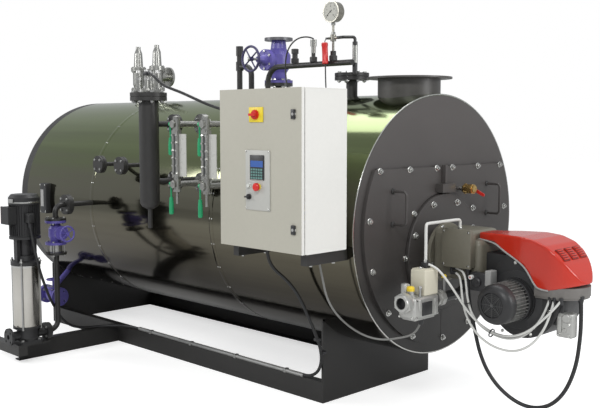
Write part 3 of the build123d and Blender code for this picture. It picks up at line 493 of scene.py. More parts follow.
# Skid and black steelwork
# Saddle plates, channels, pipes and end plates are mild steel with brushed black
# enamel: satin and a little uneven. The pump's cable is clipped to it.
def slab(finish, low, high, rounding, segments=2):
    """A block between two corners, its edges rounded."""
    bpy.ops.object.select_all(action="DESELECT")
    middle = [(a + b) / 2 for a, b in zip(low, high)]
    bpy.ops.mesh.primitive_cube_add(size=1, location=middle)
    piece = bpy.context.object
    piece.scale = [b - a for a, b in zip(low, high)]
    bpy.ops.object.transform_apply(location=True, rotation=True, scale=True)
    bpy.ops.object.mode_set(mode="EDIT")
    bpy.ops.mesh.select_all(action="SELECT")
    bpy.ops.mesh.bevel(offset=rounding, segments=segments, affect="EDGES")
    bpy.ops.object.mode_set(mode="OBJECT")
    return coat(piece, finish)


def paint(material, *names):
    """Gives CAD nodes their finish."""
    for name in names:
        piece = coat(nodes[name], material)
        for polygon in piece.data.polygons:
            polygon.material_index = 0


def as_mesh(piece):
    pick(piece)
    bpy.ops.object.convert(target="MESH")
    return bpy.context.object


def tube(points, radius, finish, closed=False, smooth=True):
    """A round bar or pipe bent through points."""
    bar, line, run = drawn("bar", points, "NURBS" if smooth else "POLY")
    line.bevel_depth = radius
    line.bevel_resolution = 3
    line.use_fill_caps = True
    run.use_cyclic_u = closed
    if smooth:
        run.order_u = 3
        run.use_endpoint_u = not closed
    return coat(as_mesh(bar), finish)


black_enamel = enamel("black_enamel", (0.024, 0.023, 0.022), 0.42)
galvanised = enamel("galvanised", (0.42, 0.42, 0.41), 0.38, drift=0.10, grain=0.00005, metal=0.9)
paint(black_enamel, "saddles", "side_beams", "pump_skid", "cabinet_brackets", "top_pipes", "feed_pipe")
paint(black_enamel, "spare_nozzles", "level_standpipe")
flue_black = enamel("flue_black", (0.066, 0.062, 0.058), 0.38, drift=0.18)
paint(flue_black, "flue_outlet")
conduit = [tube([(-0.150, -0.486, 0.131), (-1.795, -0.480, 0.131)], 0.0125, galvanised, smooth=False)]
for x in (-0.30, -0.75, -1.20, -1.65):
    conduit.append(slab(galvanised, (x - 0.011, -0.4995, 0.1185), (x + 0.011, -0.4665, 0.1445), 0.004))
assemble("pump_cable_conduit", conduit)
clips = []
for y, z in ((-0.5035, 0.300), (-0.5485, 0.380)):
    clips.append(slab(moulded_black, (-0.002, y - 0.010, z - 0.009), (0.034, y + 0.016, z + 0.009),
                      0.004))
assemble("saddle_clips", clips)


# Low water alarm
# A red plastic cylinder clipped to the instrument pipe, with a wire hook above and its
# lead running down to the drum.
alarm_red = enamel("alarm_red", (0.60, 0.022, 0.020), 0.32, drift=0.06)
hook = [(-0.268, -0.194, 2.045), (-0.269, -0.192, 2.068), (-0.262, -0.174, 2.078),
        (-0.246, -0.160, 2.078)]
tag = [round_part(alarm_red, (-0.262, -0.194, 1.925), (-0.05, 0, 1), [
    (0, 0.014), (0.004, 0.018), (0.020, 0.0185), (0.022, 0.0175), (0.100, 0.0175), (0.108, 0.0195),
    (0.122, 0.0195), (0.126, 0.0150),
])]
tag.append(slab(moulded_black, (-0.270, -0.184, 1.930), (-0.254, -0.150, 1.944), 0.002))
tag.append(tube(hook, 0.0025, moulded_black))
assemble("low_water_alarm", tag)


# Cladding
# Polished stainless sheet wrapped round the drum's wool and shell, in three lengths with
# a riveted strap over each joint. Its colour is a painted reflection: dark low down and
# olive-green towards the top, in streaks that waver because the sheet is never quite round.
def polished_sheet(name, reflection_shades, roughness, low_height, reach):
    """Mirror sheet whose colour is a painted reflection, with shades running from its lowest to its
    highest part and wavering in streaks.
    """
    finish = Finish(name, Metallic=1.0)
    height = finish.add("SeparateXYZ", output="Z", Vector=finish.place)
    reflection_streak = finish.noise(1.0, 4.0, finish.stretched((0.30, 4.0, 11.0)))
    fine = finish.noise(1.0, 3.0, finish.stretched((0.8, 30.0, 60.0)))
    level = (height - low_height) * (1 / reach) + reflection_streak * 0.30 - 0.15 + fine * 0.05
    step = 1.0 / (len(reflection_shades) - 1)
    shade = finish.ramp(level, *[(count * step, colour) for count, colour in enumerate(reflection_shades)])
    rough = reflection_streak * 0.07 + roughness
    wave = finish.bump(finish.noise(2.0, 2.0, finish.stretched((0.5, 1.0, 1.0))), 0.25, 0.008)
    return finish.use(Base_Color=shade, Roughness=rough, Normal=wave)


# Painted reflection: the drum's sheet is painted dark low down and olive-green at the top.
drum_steel = polished_sheet(
    "drum_steel",
    [(0.062, 0.054, 0.043), (0.064, 0.056, 0.044), (0.110, 0.100, 0.074), (0.165, 0.160, 0.120),
     (0.155, 0.185, 0.092), (0.225, 0.275, 0.130)],
    0.075, 0.29, 1.45,
)
paint(drum_steel, "cladding_front", "cladding_middle", "cladding_rear")
axis_height = 1.015
drum_radius = 0.725


def drum_strap(x, width):
    """A strap round the drum over a joint of the sheets: a thin ring with rounded lips."""
    half = width / 2
    foot, edge, crown = drum_radius - 0.002, drum_radius + 0.0002, drum_radius + 0.0008
    hoop = [(-half, foot), (-half, edge), (-half + 0.002, crown), (half - 0.002, crown), (half, edge),
            (half, foot)]
    return round_part(drum_steel, (x, 0, axis_height), front, hoop, 160, hollow=True)


def round_the_drum(x, turn, clear=0.0):
    """A place on the drum's face and its outward direction; turn 0 is the top, 90 the -Y side."""
    out = Vector((0, -math.sin(math.radians(turn)), math.cos(math.radians(turn))))
    return Vector((x, 0, axis_height)) + out * (drum_radius + clear), out


bright_steel = enamel("bright_steel", (0.58, 0.58, 0.56), 0.25, drift=0.06, metal=1.0)
for name, x in (("rear_strap", -2.0), ("front_strap", -0.69)):
    assemble(name, [drum_strap(x, 0.036)])
rivet = turned([(-0.001, 0.005), (0.0010, 0.0046), (0.0018, 0.003)], 10)
rivets = []
for x in (-2.0, -0.69):
    for turn in [*range(-150, -100, 12), *range(-78, 160, 12)]:
        rivets.append(round_the_drum(x - 0.010, turn, 0.0006))
        rivets.append(round_the_drum(x + 0.010, turn, 0.0006))
for x in (-2.80, -2.65, -2.50, -2.35, -2.20, -1.85, -1.70, -1.55, -1.40, -1.25, -1.10, -0.95, -0.80):
    rivets.append(round_the_drum(x, 152, -0.0005))
assemble("cladding_rivets", copies(rivet, rivets, bright_steel))
edge = [(-0.0005, 0.7245), (0.0008, 0.7238), (0.0008, 0.7180), (-0.0005, 0.7172)]
assemble("cladding_edge", [round_part(bright_steel, (0.4335, 0, axis_height), front, edge, 160,
                                      hollow=True)])


# Front end plate, smokebox covers and burner plate
# Heavy steel plate in grey-black enamel. Hexagon nuts on studs, each with its washer,
# hold the two covers and the burner plate on.
def stud_nut(across, studded=True):
    """A washer, a hexagon nut and the end of its stud, standing on the face."""
    corner = across / 2 / math.cos(math.radians(30))
    washer = turned([(-0.0005, corner * 1.28), (0.0024, corner * 1.28), (0.0030, corner * 1.18)], 18)
    nut = turned([(0.0028, corner), (across * 0.50, corner), (across * 0.55, corner * 0.86)], 6)
    parts = [washer, nut]
    if studded:
        thread = across * 0.27
        parts.append(turned([(across * 0.5, thread), (across * 0.80, thread),
                             (across * 0.85, across * 0.22)], 12))
    return joined(parts)


def ring(centre, facing, radius, count, first=0.0):
    """Places evenly round a circle that is square to a direction."""
    way = Vector(facing).to_track_quat("Z", "Y").to_matrix()
    places = []
    for step in range(count):
        turn = math.radians(first + 360 * step / count)
        out = way @ Vector((radius * math.cos(turn), radius * math.sin(turn), 0))
        places.append((Vector(centre) + out, facing))
    return places


def shaded_enamel(name, low_colour, high_colour, low_height, reach, roughness):
    """Enamel that grows darker towards its foot."""
    finish = Finish(name)
    height = finish.add("SeparateXYZ", output="Z", Vector=finish.place)
    cloud = finish.noise(3.0, 5.0)
    level = (height - low_height) * (1 / reach) + cloud * 0.36 - 0.18
    shade = finish.ramp(level, (0.0, low_colour), (1.0, high_colour))
    fine = finish.noise(60.0, 5.0)
    return finish.use(
        Base_Color=shade,
        Roughness=fine * 0.2 + (roughness - 0.1),
        Normal=finish.bump(finish.noise(420.0, 2.0), 0.35, 0.00015),
    )


end_enamel = shaded_enamel("end_enamel", (0.010, 0.009, 0.008), (0.078, 0.071, 0.068), 0.25, 1.35, 0.38)
paint(end_enamel, "front_plate", "smokebox_cover_left", "smokebox_cover_right", "burner_plate",
      "seam_strip")
paint(black_enamel, "rear_smokebox")
cover_face = 0.455
cover_bolts = [(y, 1.332) for y in (-0.542, -0.297, -0.058, 0.086, 0.337, 0.567)]
for side in (-1, 1):
    cover_bolts += [(side * 0.621, 1.079), (side * 0.595, 0.817), (side * 0.468, 0.585),
                    (side * 0.260, 0.427)]
cover_bolts += [(0.016, 0.373), (-0.055, 1.225), (-0.258, 1.093), (-0.328, 0.859), (0.293, 1.090),
                (0.026, 0.543)]
cover_places = [((cover_face, y, z), front) for y, z in cover_bolts
                if abs(y) > 0.07 or z > 1.3 or z < 0.5]
assemble("cover_nuts", copies(stud_nut(0.024), cover_places, bright_steel))
burner_seat = (0.475, 0, 0.866)
plate_places = ring(burner_seat, front, 0.290, 8, 22.5)
assemble("burner_plate_nuts", copies(stud_nut(0.026), plate_places, bright_steel))
rear_places = ring((-3.0005, 0, 0.866), rear, 0.185, 8, 22.5)
assemble("rear_cover_nuts", copies(stud_nut(0.020, False), rear_places, bright_steel))
feet = [((cover_face, y, z), front) for y in (-0.436, 0.436) for z in (1.051, 1.224)]
assemble("handle_collars", copies(turned([(0, 0.016), (0.005, 0.0155), (0.009, 0.010)], 20), feet,
                                  black_enamel))
joint = [tube([(0.4562, 0.0, 1.338), (0.4562, 0.0, 1.30), (0.4562, 0.0, 1.25)], 0.0016, black_enamel,
              smooth=False)]
assemble("cover_joint", joint)


# Purge valve
# A brass ball valve on a plated nipple, with a red steel lever held by a nut.
brass = enamel("brass", (0.62, 0.42, 0.16), 0.28, drift=0.08, metal=1.0,
               zones=(((0.45, None, None), (0.506, None, None), (0.62, 0.62, 0.60), 1.0),))
paint(brass, "purge_valve")
lever_red = enamel("lever_red", (0.55, 0.025, 0.018), 0.35, drift=0.08)
paint(lever_red, "purge_valve_lever")
flats = copies(turned([(0, 0.0295), (0.012, 0.0295), (0.014, 0.027)], 6), [
    ((0.504, 0.137, 1.212), front), ((0.552, 0.137, 1.212), front),
], brass)
assemble("purge_valve_flats", flats)
assemble("lever_nut", copies(turned([(0, 0.009), (0.006, 0.009), (0.0075, 0.0075)], 6),
                             [((0.530, 0.182, 1.212), far)], bright_steel), "purge_lever")


# Burner head
# A grey cast head bolted to the burner plate, with the control box on its near side.
# The box is a steel tray with a folded lid, which four screws hold.
burner_grey = enamel("burner_grey", (0.155, 0.145, 0.112), 0.42, drift=0.08)
burner_black = enamel("burner_black", (0.022, 0.022, 0.023), 0.42)
speckled_grey = enamel("speckled_grey", (0.20, 0.20, 0.19), 0.5, drift=0.6, grain=0.0004)
head = [
    round_part(burner_grey, burner_seat, front, [(0, 0.165), (0.016, 0.165), (0.020, 0.160),
            (0.020, 0.135)], 64),
    slab(burner_grey, (0.494, -0.140, 0.745), (0.735, 0.140, 1.010), 0.028, 4),
    slab(burner_grey, (0.700, -0.140, 0.745), (0.800, 0.140, 0.965), 0.028, 4),
]
head += copies(stud_nut(0.017, False), ring((0.495, 0, 0.866), front, 0.150, 4, 20), bright_steel)
assemble("burner_head", head, instead_of=("burner_body",))
box = [
    slab(burner_grey, (0.596, -0.190, 0.824), (0.771, -0.139, 1.004), 0.003),
    slab(burner_grey, (0.592, -0.193, 0.820), (0.775, -0.176, 1.026), 0.003),
]
box += copies(turned([(0, 0.006), (0.002, 0.006), (0.003, 0.004)], 12), [
    ((0.606, -0.193, 0.835), near), ((0.761, -0.193, 0.835), near),
    ((0.606, -0.193, 1.012), near), ((0.761, -0.193, 1.012), near),
], bright_steel)
box.append(round_part(moulded_black, (0.745, -0.165, 0.806), up, [(0, 0.013), (0.018, 0.013)], 16))
for z in (0.814, 0.788):
    box.append(round_part(moulded_black, (0.640, -0.165, z), front, [(0, 0.009), (0.030, 0.009)], 14))
box.append(round_part(moulded_black, (0.640, -0.165, 0.779), up, [(0, 0.009), (0.050, 0.009)], 14))
assemble("burner_controls", box, instead_of=("burner_control_box",))


# Air pressure switch
# A black moulded switch on a grey backplate, with its white and red setting cap.
cap_white = enamel("cap_white", (0.68, 0.68, 0.66), 0.4, drift=0.04)
plate_grey = enamel("plate_grey", (0.34, 0.34, 0.33), 0.45)
switch = [
    slab(moulded_black, (0.770, -0.185, 0.711), (0.866, -0.138, 0.808), 0.008, 3),
    slab(plate_grey, (0.862, -0.190, 0.744), (0.898, -0.128, 0.826), 0.006, 3),
    round_part(moulded_black, (0.815, -0.185, 0.760), near, [(0, 0.024), (0.010, 0.024), (0.014, 0.018)],
               28),
    round_part(cap_white, (0.783, -0.185, 0.783), near, [(0, 0.012), (0.018, 0.012), (0.020, 0.009)], 20),
    round_part(lever_red, (0.783, -0.1835, 0.783), near, [(0, 0.005), (0.0215, 0.005)], 16),
]
assemble("pressure_switch", switch, instead_of=("air_pressure_switch",))


# Fan scroll
# A black cast scroll under the hood: its spiral opens towards the head, and a rim with
# small screws joins its two halves.
def modify(piece, kind, **settings):
    """Adds a modifier with its settings and applies it."""
    bpy.context.view_layer.objects.active = piece
    modifier = piece.modifiers.new(kind.lower(), kind)
    for setting, value in settings.items():
        setattr(modifier, setting, value)
    bpy.ops.object.modifier_apply(modifier=modifier.name)


def cut_out(outline, thickness, rounding=0.0):
    """A plate of a given outline in X and Y, made from a flat curve and centred on Z."""
    plate, line, run = drawn("plate", [(x, y, 0) for x, y in outline], "POLY", "2D")
    line.fill_mode = "BOTH"
    line.extrude = thickness / 2
    run.use_cyclic_u = True
    plate = as_mesh(plate)
    bpy.ops.object.mode_set(mode="EDIT")
    bpy.ops.mesh.select_all(action="SELECT")
    bpy.ops.mesh.remove_doubles(threshold=0.00001)
    bpy.ops.mesh.normals_make_consistent(inside=False)
    bpy.ops.object.mode_set(mode="OBJECT")
    if rounding > 0:
        modify(plate, "BEVEL", width=rounding, segments=3, limit_method="ANGLE",
               angle_limit=math.radians(50))
    return plate


def on_its_side(piece):
    """Turns a plate drawn in X and height so that its thickness lies across the boiler."""
    piece.data.transform(Matrix.Rotation(math.radians(90), 4, "X"))
    return piece


fan_x = 1.008
fan_height = 0.688
fan_centre = (fan_x, 0, fan_height)
scroll_line = []
for degree in range(-165, 91, 5):
    reach = 0.243 + 0.0006 * degree
    scroll_line.append((fan_x + reach * math.cos(math.radians(degree)),
                        fan_height + reach * math.sin(math.radians(degree))))
scroll_line += [(0.958, 0.924), (0.905, 0.868), (0.868, 0.800), (0.852, 0.720)]
scroll = [
    coat(on_its_side(cut_out(scroll_line, 0.248, 0.012)), burner_black),
    slab(burner_black, (0.795, -0.082, 0.760), (0.980, 0.082, 0.905), 0.012, 3),
]
for y in (-0.119, 0.119):
    scroll.append(round_part(burner_black, (fan_x, y, fan_height), (0, math.copysign(1, y), 0),
                             [(-0.005, 0.150), (0.006, 0.150), (0.009, 0.144)], 48))
scroll += copies(stud_nut(0.012, False), ring((fan_x, -0.1245, fan_height), near, 0.188, 7, 195),
                 bright_steel)
assemble("fan_scroll", scroll, instead_of=("fan_housing",))


# Fan motor
# A finned motor on the scroll's near side: black flange, speckled grey finned body, and a
# dark cowl with a wire grille over the cooling fan.
motor_flange = [(0.124, 0.113), (0.140, 0.113), (0.140, 0.108), (0.168, 0.108), (0.170, 0.104)]
motor_cowl = [(0.280, 0.098), (0.282, 0.101), (0.314, 0.101), (0.330, 0.095), (0.342, 0.082),
              (0.348, 0.070),
              (0.348, 0.063), (0.336, 0.060)]
motor = [
    round_part(burner_black, fan_centre, near, motor_flange, 64),
    round_part(speckled_grey, fan_centre, near, [(0.160, 0.088), (0.284, 0.088)], 48),
    round_part(burner_black, fan_centre, near, motor_cowl, 64),
]
grille_grey = enamel("grille_grey", (0.10, 0.10, 0.10), 0.4, metal=0.5)
fin = slab(speckled_grey, (0.084, -0.0016, 0.170), (0.103, 0.0016, 0.281), 0.0008, 1)
motor += copies(fin, [(fan_centre, near)] * 36, speckled_grey, math.radians(10))
grille_y = -0.3465
for reach in (0.010, 0.019, 0.028, 0.037, 0.046, 0.055):
    circle = []
    for step in range(32):
        turn = step * math.pi / 16
        circle.append((fan_x + reach * math.cos(turn), grille_y, fan_height + reach * math.sin(turn)))
    motor.append(tube(circle, 0.0011, grille_grey, closed=True, smooth=False))
for step in range(8):
    spoke = Vector((math.cos(step * math.pi / 4), 0, math.sin(step * math.pi / 4)))
    centre = Vector((fan_x, grille_y, fan_height))
    motor.append(tube([centre + spoke * 0.006, centre + spoke * 0.062], 0.0013, grille_grey,
                      smooth=False))
motor.append(round_part(grille_grey, fan_centre, near, [(0.346, 0.009), (0.349, 0.008)], 16))
assemble("fan_motor", motor, instead_of=("burner_motor",))


# Burner hood
# A one-piece moulded hood in glossy red over the scroll and the head, with three
# louvred vents down its nose. Its plan narrows to a tail and ends in a round nose.
def hood_half_width(x):
    """Half the hood's width at a distance along it, its shoulders rounded."""
    along = min(1.0, (x - hood_start) / 0.420)
    return min(0.150, 0.060 + 0.090 * max(0.0, math.sin(math.pi / 2 * along)))


def nose_arc(length, half_width):
    """The plan of the round nose, from one side to the other."""
    turns = [math.pi * step / 24 for step in range(25)]
    return [(nose_centre + length * math.sin(turn), half_width * math.cos(turn)) for turn in turns]


hood_start = 0.738
nose_centre = 1.190
hood_top_line = [(0.740, 1.003), (0.900, 1.010), (1.030, 1.012), (1.110, 1.003), (1.180, 0.978),
                 (1.235, 0.938), (1.280, 0.889), (1.312, 0.842), (1.332, 0.803), (1.339, 0.792)]
hood_low_line = [(1.200, 0.760), (1.148, 0.760), (1.122, 0.783), (1.097, 0.820), (1.060, 0.866),
                 (0.999, 0.897), (0.922, 0.929), (0.850, 0.966), (0.740, 0.966)]
hood_plan = nose_arc(0.148, 0.150)
edge_xs = [hood_start + 0.0210 * step for step in range(21)]
far_edge = [(x, hood_half_width(x)) for x in edge_xs]
hood_plan += [(x, -y) for x, y in reversed(far_edge)] + far_edge
hood = on_its_side(cut_out(hood_top_line + hood_low_line, 0.320))
hood_above = cut_out(hood_plan, 0.400)
hood_above.data.transform(Matrix.Translation((0, 0, 0.880)))
modify(hood, "BOOLEAN", operation="INTERSECT", object=hood_above)
bpy.data.objects.remove(hood_above)
modify(hood, "REMESH", mode="VOXEL", voxel_size=0.0045)
modify(hood, "SMOOTH", factor=0.5, iterations=12)
hood_red = enamel("hood_red", (0.52, 0.024, 0.009), 0.22, drift=0.04, coat=0.30, grain=0.00004)
# Painted shade: the vent pockets are the hood's red painted darker, as the shade inside the recesses.
vent_painted_shade = enamel("vent_painted_shade", (0.20, 0.012, 0.008), 0.4, drift=0.04)
assemble("hood", [coat(hood, hood_red)], instead_of=("burner_hood",))
vent_way = Matrix.Rotation(math.radians(44), 4, "Y")
vent_pieces = []
for y in (-0.082, 0.0, 0.082):
    place = Matrix.Translation((1.2400, y, 0.9365)) @ vent_way
    pocket = slab(vent_painted_shade, (-0.036, -0.030, -0.006), (0.036, 0.030, 0.0012), 0.0018, 2)
    pocket.data.transform(place)
    vent_pieces.append(pocket)
    for row in range(5):
        start = -0.029 + row * 0.0130
        blade = slab(hood_red, (start, -0.026, 0.000), (start + 0.0075, 0.026, 0.0046), 0.0014, 2)
        blade.data.transform(place)
        vent_pieces.append(blade)
assemble("hood_vents", vent_pieces)
trim_line = [(x, -hood_half_width(x) - 0.001 if x < nose_centre else -0.149, z)
             for x, z in reversed(hood_low_line)]
assemble("hood_trim", [tube(trim_line, 0.0045, plate_grey)])


# Air intake
# A grey sheet tray closes the hood from below. A bracket and the cast damper with its
# two bosses hang under it.
cast_alloy = enamel("cast_alloy", (0.48, 0.48, 0.46), 0.40, drift=0.10, grain=0.0006, metal=0.75)
tray_grey = enamel("tray_grey", (0.16, 0.15, 0.14), 0.45)
tray_plan = nose_arc(0.142, 0.145)
tray_plan += [(1.120, -0.145), (1.120, 0.145)]
tray = cut_out(tray_plan, 0.050, 0.004)
tray.data.transform(Matrix.Translation((0, 0, 0.750)))
floor_tray = cut_out([(0.97 * (x - nose_centre) + nose_centre, 0.96 * y) for x, y in tray_plan], 0.022,
                     0.004)
floor_tray.data.transform(Matrix.Translation((0, 0, 0.727)))
intake = [
    coat(tray, tray_grey),
    coat(floor_tray, tray_grey),
    slab(burner_black, (1.190, -0.112, 0.585), (1.262, -0.052, 0.722), 0.006),
    slab(cast_alloy, (1.230, -0.118, 0.533), (1.315, -0.060, 0.655), 0.010, 3),
    slab(cast_alloy, (1.238, -0.124, 0.560), (1.262, -0.112, 0.640), 0.004),
    round_part(cast_alloy, (1.285, -0.060, 0.632), near, [(0, 0.024), (0.064, 0.022), (0.068, 0.018)],
               28),
    round_part(cast_alloy, (1.275, -0.060, 0.570), near, [(0, 0.014), (0.060, 0.012), (0.064, 0.009)],
               20),
]
intake += copies(stud_nut(0.011, False), [
    ((1.300, -0.118, 0.545), near), ((1.245, -0.118, 0.545), near), ((1.300, -0.118, 0.600), near),
], bright_steel)
assemble("air_intake", intake, instead_of=("air_intake_box",))


# Gas train
# A cast double valve with a hexagon inlet collar, a yellow setting knob and a beige coil,
# joined to the head by a black pipe with a union.
coil_beige = enamel("coil_beige", (0.60, 0.57, 0.46), 0.5, drift=0.04)
knob_yellow = enamel("knob_yellow", (0.78, 0.56, 0.03), 0.38, drift=0.04)
gas_inlet = (0.650, -0.607, 0.682)
knob_seat = (0.650, -0.529, 0.709)
valve_pieces = [
    slab(cast_alloy, (0.598, -0.565, 0.597), (0.702, -0.357, 0.709), 0.016, 4),
    slab(cast_alloy, (0.610, -0.543, 0.589), (0.690, -0.379, 0.600), 0.003),
    slab(cast_alloy, (0.592, -0.530, 0.640), (0.708, -0.505, 0.700), 0.005),
    slab(cast_alloy, (0.592, -0.400, 0.605), (0.708, -0.385, 0.690), 0.005),
    slab(burner_black, (0.6985, -0.500, 0.612), (0.7065, -0.420, 0.680), 0.002),
    round_part(cast_alloy, gas_inlet, far, [(0.042, 0.050), (0.027, 0.050), (0.024, 0.046),
                                            (0.010, 0.044), (0.0, 0.041), (0.0, 0.0295), (0.042, 0.0285)],
                                            48, hollow=True),
    round_part(cast_alloy, gas_inlet, far, [(0.026, 0.0565), (0.012, 0.0565), (0.010, 0.052),
                                            (0.010, 0.040), (0.026, 0.040)], 6, hollow=True),
    round_part(burner_black, gas_inlet, far, [(0.030, 0.0290), (0.034, 0.0290)], 32),
    round_part(burner_black, gas_inlet, far, [(0.006, 0.0296), (0.030, 0.0294), (0.030, 0.0275),
            (0.006, 0.0280)], 32, hollow=True),
    slab(cast_alloy, (0.608, -0.560, 0.700), (0.640, -0.525, 0.775), 0.008, 3),
    round_part(cast_alloy, knob_seat, up, [(0, 0.028), (0.007, 0.028), (0.008, 0.020), (0.030, 0.020)],
               32),
    round_part(knob_yellow, knob_seat, up, [(0.028, 0.0205), (0.044, 0.0205), (0.050, 0.016),
                                            (0.052, 0.012)], 32),
    round_part(moulded_black, (0.662, -0.456, 0.575), up, [(0, 0.013), (0.016, 0.013)], 20),
]
for x in (0.612, 0.688):
    valve_pieces.append(round_part(galvanised, (x, -0.501, 0.709), up,
                                   [(0, 0.007), (0.040, 0.007), (0.040, 0.011), (0.050, 0.011),
                                    (0.054, 0.009)], 16))
valve_pieces += copies(turned([(0, 0.0065), (0.003, 0.0065), (0.0045, 0.005)], 12), [
    ((0.610, -0.565, 0.608), near), ((0.690, -0.565, 0.608), near),
    ((0.702, -0.545, 0.610), front), ((0.702, -0.545, 0.695), front), ((0.702, -0.372, 0.610), front),
], bright_steel)
assemble("gas_valve_body", valve_pieces, instead_of=("gas_valve",))
coil = [
    slab(coil_beige, (0.603, -0.472, 0.708), (0.697, -0.360, 0.837), 0.007, 3),
    slab(coil_beige, (0.6085, -0.466, 0.834), (0.6915, -0.366, 0.842), 0.002),
    slab(moulded_black, (0.632, -0.426, 0.837), (0.668, -0.388, 0.871), 0.005, 3),
    round_part(bright_steel, (0.650, -0.445, 0.842), up, [(0, 0.012), (0.006, 0.012), (0.008, 0.009)], 6),
]
assemble("coil", coil, instead_of=("gas_valve_coil",))
gas_line = [
    tube([(0.650, -0.360, 0.668), (0.650, -0.120, 0.668), (0.650, -0.070, 0.680), (0.650, -0.060, 0.730),
          (0.650, -0.060, 0.750)], 0.027, burner_black),
    round_part(cast_alloy, (0.650, -0.327, 0.668), far,
               [(0, 0.038), (0.022, 0.038), (0.022, 0.044), (0.052, 0.044), (0.052, 0.036),
                (0.066, 0.036)], 8),
    round_part(galvanised, (0.650, -0.247, 0.690), up, [(0, 0.008), (0.080, 0.008)], 14),
    round_part(knob_yellow, (0.650, -0.247, 0.690), up, [(0.080, 0.014), (0.092, 0.014), (0.097, 0.010)],
               20),
]
assemble("gas_line", gas_line, instead_of=("gas_pipe",))
pilot_line = [tube([
    (0.650, -0.407, 0.868), (0.650, -0.407, 0.950), (0.650, -0.407, 1.052), (0.650, -0.402, 1.066),
    (0.650, -0.385, 1.068), (0.650, -0.240, 1.068), (0.650, -0.125, 1.068), (0.650, -0.110, 1.062),
    (0.650, -0.108, 1.045), (0.650, -0.108, 1.008),
], 0.008, white_sheath)]
pilot_line += copies(turned([(0, 0.013), (0.014, 0.013), (0.016, 0.010)], 6),
                     [((0.650, -0.407, 0.868), up), ((0.650, -0.108, 1.010), up)], bright_steel)
assemble("pilot_line", pilot_line, instead_of=("pilot_pipe",))


# Control cabinet
# A folded steel box and door in pale grey powder coat, sealed by a black gasket. The door
# carries two locks, the switch plate and the operating panel; inside, breakers and
# contactors stand in rows between wiring ducts on a plated back plate.
# Painted shade and light: the door is the cabinet's pale grey coat painted darker, and its edge strip
# facing +X is painted in the lit box colour.
door_coat_with_painted_shade = enamel("door_coat_with_painted_shade", (0.44, 0.425, 0.360), 0.45, drift=0.03, grain=0.0001, zones=(
    ((0.4088, None, None), (0.42, None, None), (0.74, 0.735, 0.70), 0.0),
))
box_coat = enamel("box_coat", (0.74, 0.735, 0.70), 0.42, drift=0.02, grain=0.0001)
panel_grey = enamel("panel_grey", (0.46, 0.46, 0.43), 0.45, drift=0.03, grain=0.0001)
screen_blue = enamel("screen_blue", (0.05, 0.12, 0.38), 0.18, drift=0.05)
keypad_grey = enamel("keypad_grey", (0.12, 0.25, 0.23), 0.42, drift=0.05)
plate_yellow = enamel("plate_yellow", (0.80, 0.62, 0.03), 0.4, drift=0.03)
switch_red = enamel("switch_red", (0.62, 0.020, 0.015), 0.30, drift=0.04)
lamp_white = enamel("lamp_white", (0.62, 0.64, 0.60), 0.2, drift=0.04)
paint(box_coat, "cabinet_body")
paint(door_coat_with_painted_shade, "cabinet_door")
paint(panel_grey, "door_fittings")
paint(moulded_black, "selector_knob")
paint(switch_red, "main_switch_knob")
door = "cabinet_door_body"
gasket = [
    slab(moulded_black, (left, -1.0448, low), (right, -1.0402, high), 0.0015, 1)
    for left, right, low, high in (
        (-0.1865, -0.1765, 0.9515, 1.7445), (0.3965, 0.4065, 0.9515, 1.7445),
        (-0.1770, 0.3970, 0.9515, 0.9615), (-0.1770, 0.3970, 1.7345, 1.7445),
    )
]
fitted = [
    slab(plate_yellow, (0.0405, -1.0692, 1.5825), (0.1435, -1.0628, 1.6575), 0.003),
    slab(panel_grey, (0.0135, -1.0690, 1.1435), (0.1925, -1.0626, 1.4445), 0.003),
    slab(moulded_black, (0.0505, -1.0740, 1.2960), (0.1555, -1.0680, 1.4200), 0.004),
    slab(screen_blue, (0.0575, -1.0750, 1.3600), (0.1485, -1.0736, 1.3920), 0.0006, 1),
    round_part(lamp_white, (0.044, -1.0688, 1.266), near,
               [(0, 0.013), (0.003, 0.013), (0.004, 0.010), (0.0125, 0.010), (0.0145, 0.007)], 24),
]
for row in range(4):
    for column in range(5):
        left = 0.0600 + column * 0.0178
        low = 1.3010 + row * 0.0140
        fitted.append(slab(keypad_grey, (left, -1.0762, low), (left + 0.0140, -1.0738, low + 0.0102),
                           0.0010, 1))
fitted += copies(turned([(0, 0.0045), (0.0015, 0.0045), (0.0022, 0.003)], 10), [
    ((x, -1.0690, z), near) for x in (0.021, 0.185) for z in (1.151, 1.437)
], bright_steel)
for z in (1.621, 1.066):
    fitted.append(slab(moulded_black, (0.342, -1.0725, z - 0.023), (0.370, -1.0625, z + 0.023), 0.003))
    fitted.append(round_part(plate_grey, (0.356, -1.0628, z), near, [(0.009, 0.008), (0.0115, 0.0075)],
                             20))
fitted.append(round_part(plate_yellow, (0.112, -1.0688, 1.262), near, [(0, 0.017), (0.012, 0.017)], 28))
fitted.append(round_part(switch_red, (0.112, -1.0680, 1.262), near,
                         [(0.012, 0.0205), (0.023, 0.0205), (0.027, 0.0165), (0.028, 0.010)], 32))
assemble("door_gasket", gasket)
assemble("door_controls", fitted, door)
equipment = [slab(galvanised, (-0.155, -0.778, 0.985), (0.375, -0.774, 1.710), 0.001, 1)]
for x in (-0.130, 0.350):
    for z in (1.010, 1.685):
        equipment.append(round_part(galvanised, (x, -0.775, z), far, [(0, 0.006), (0.026, 0.006)], 12))
for z in (1.685, 1.450, 1.225, 1.010):
    equipment.append(slab(plate_grey, (-0.115, -0.838, z - 0.020), (0.335, -0.777, z + 0.020), 0.002, 1))
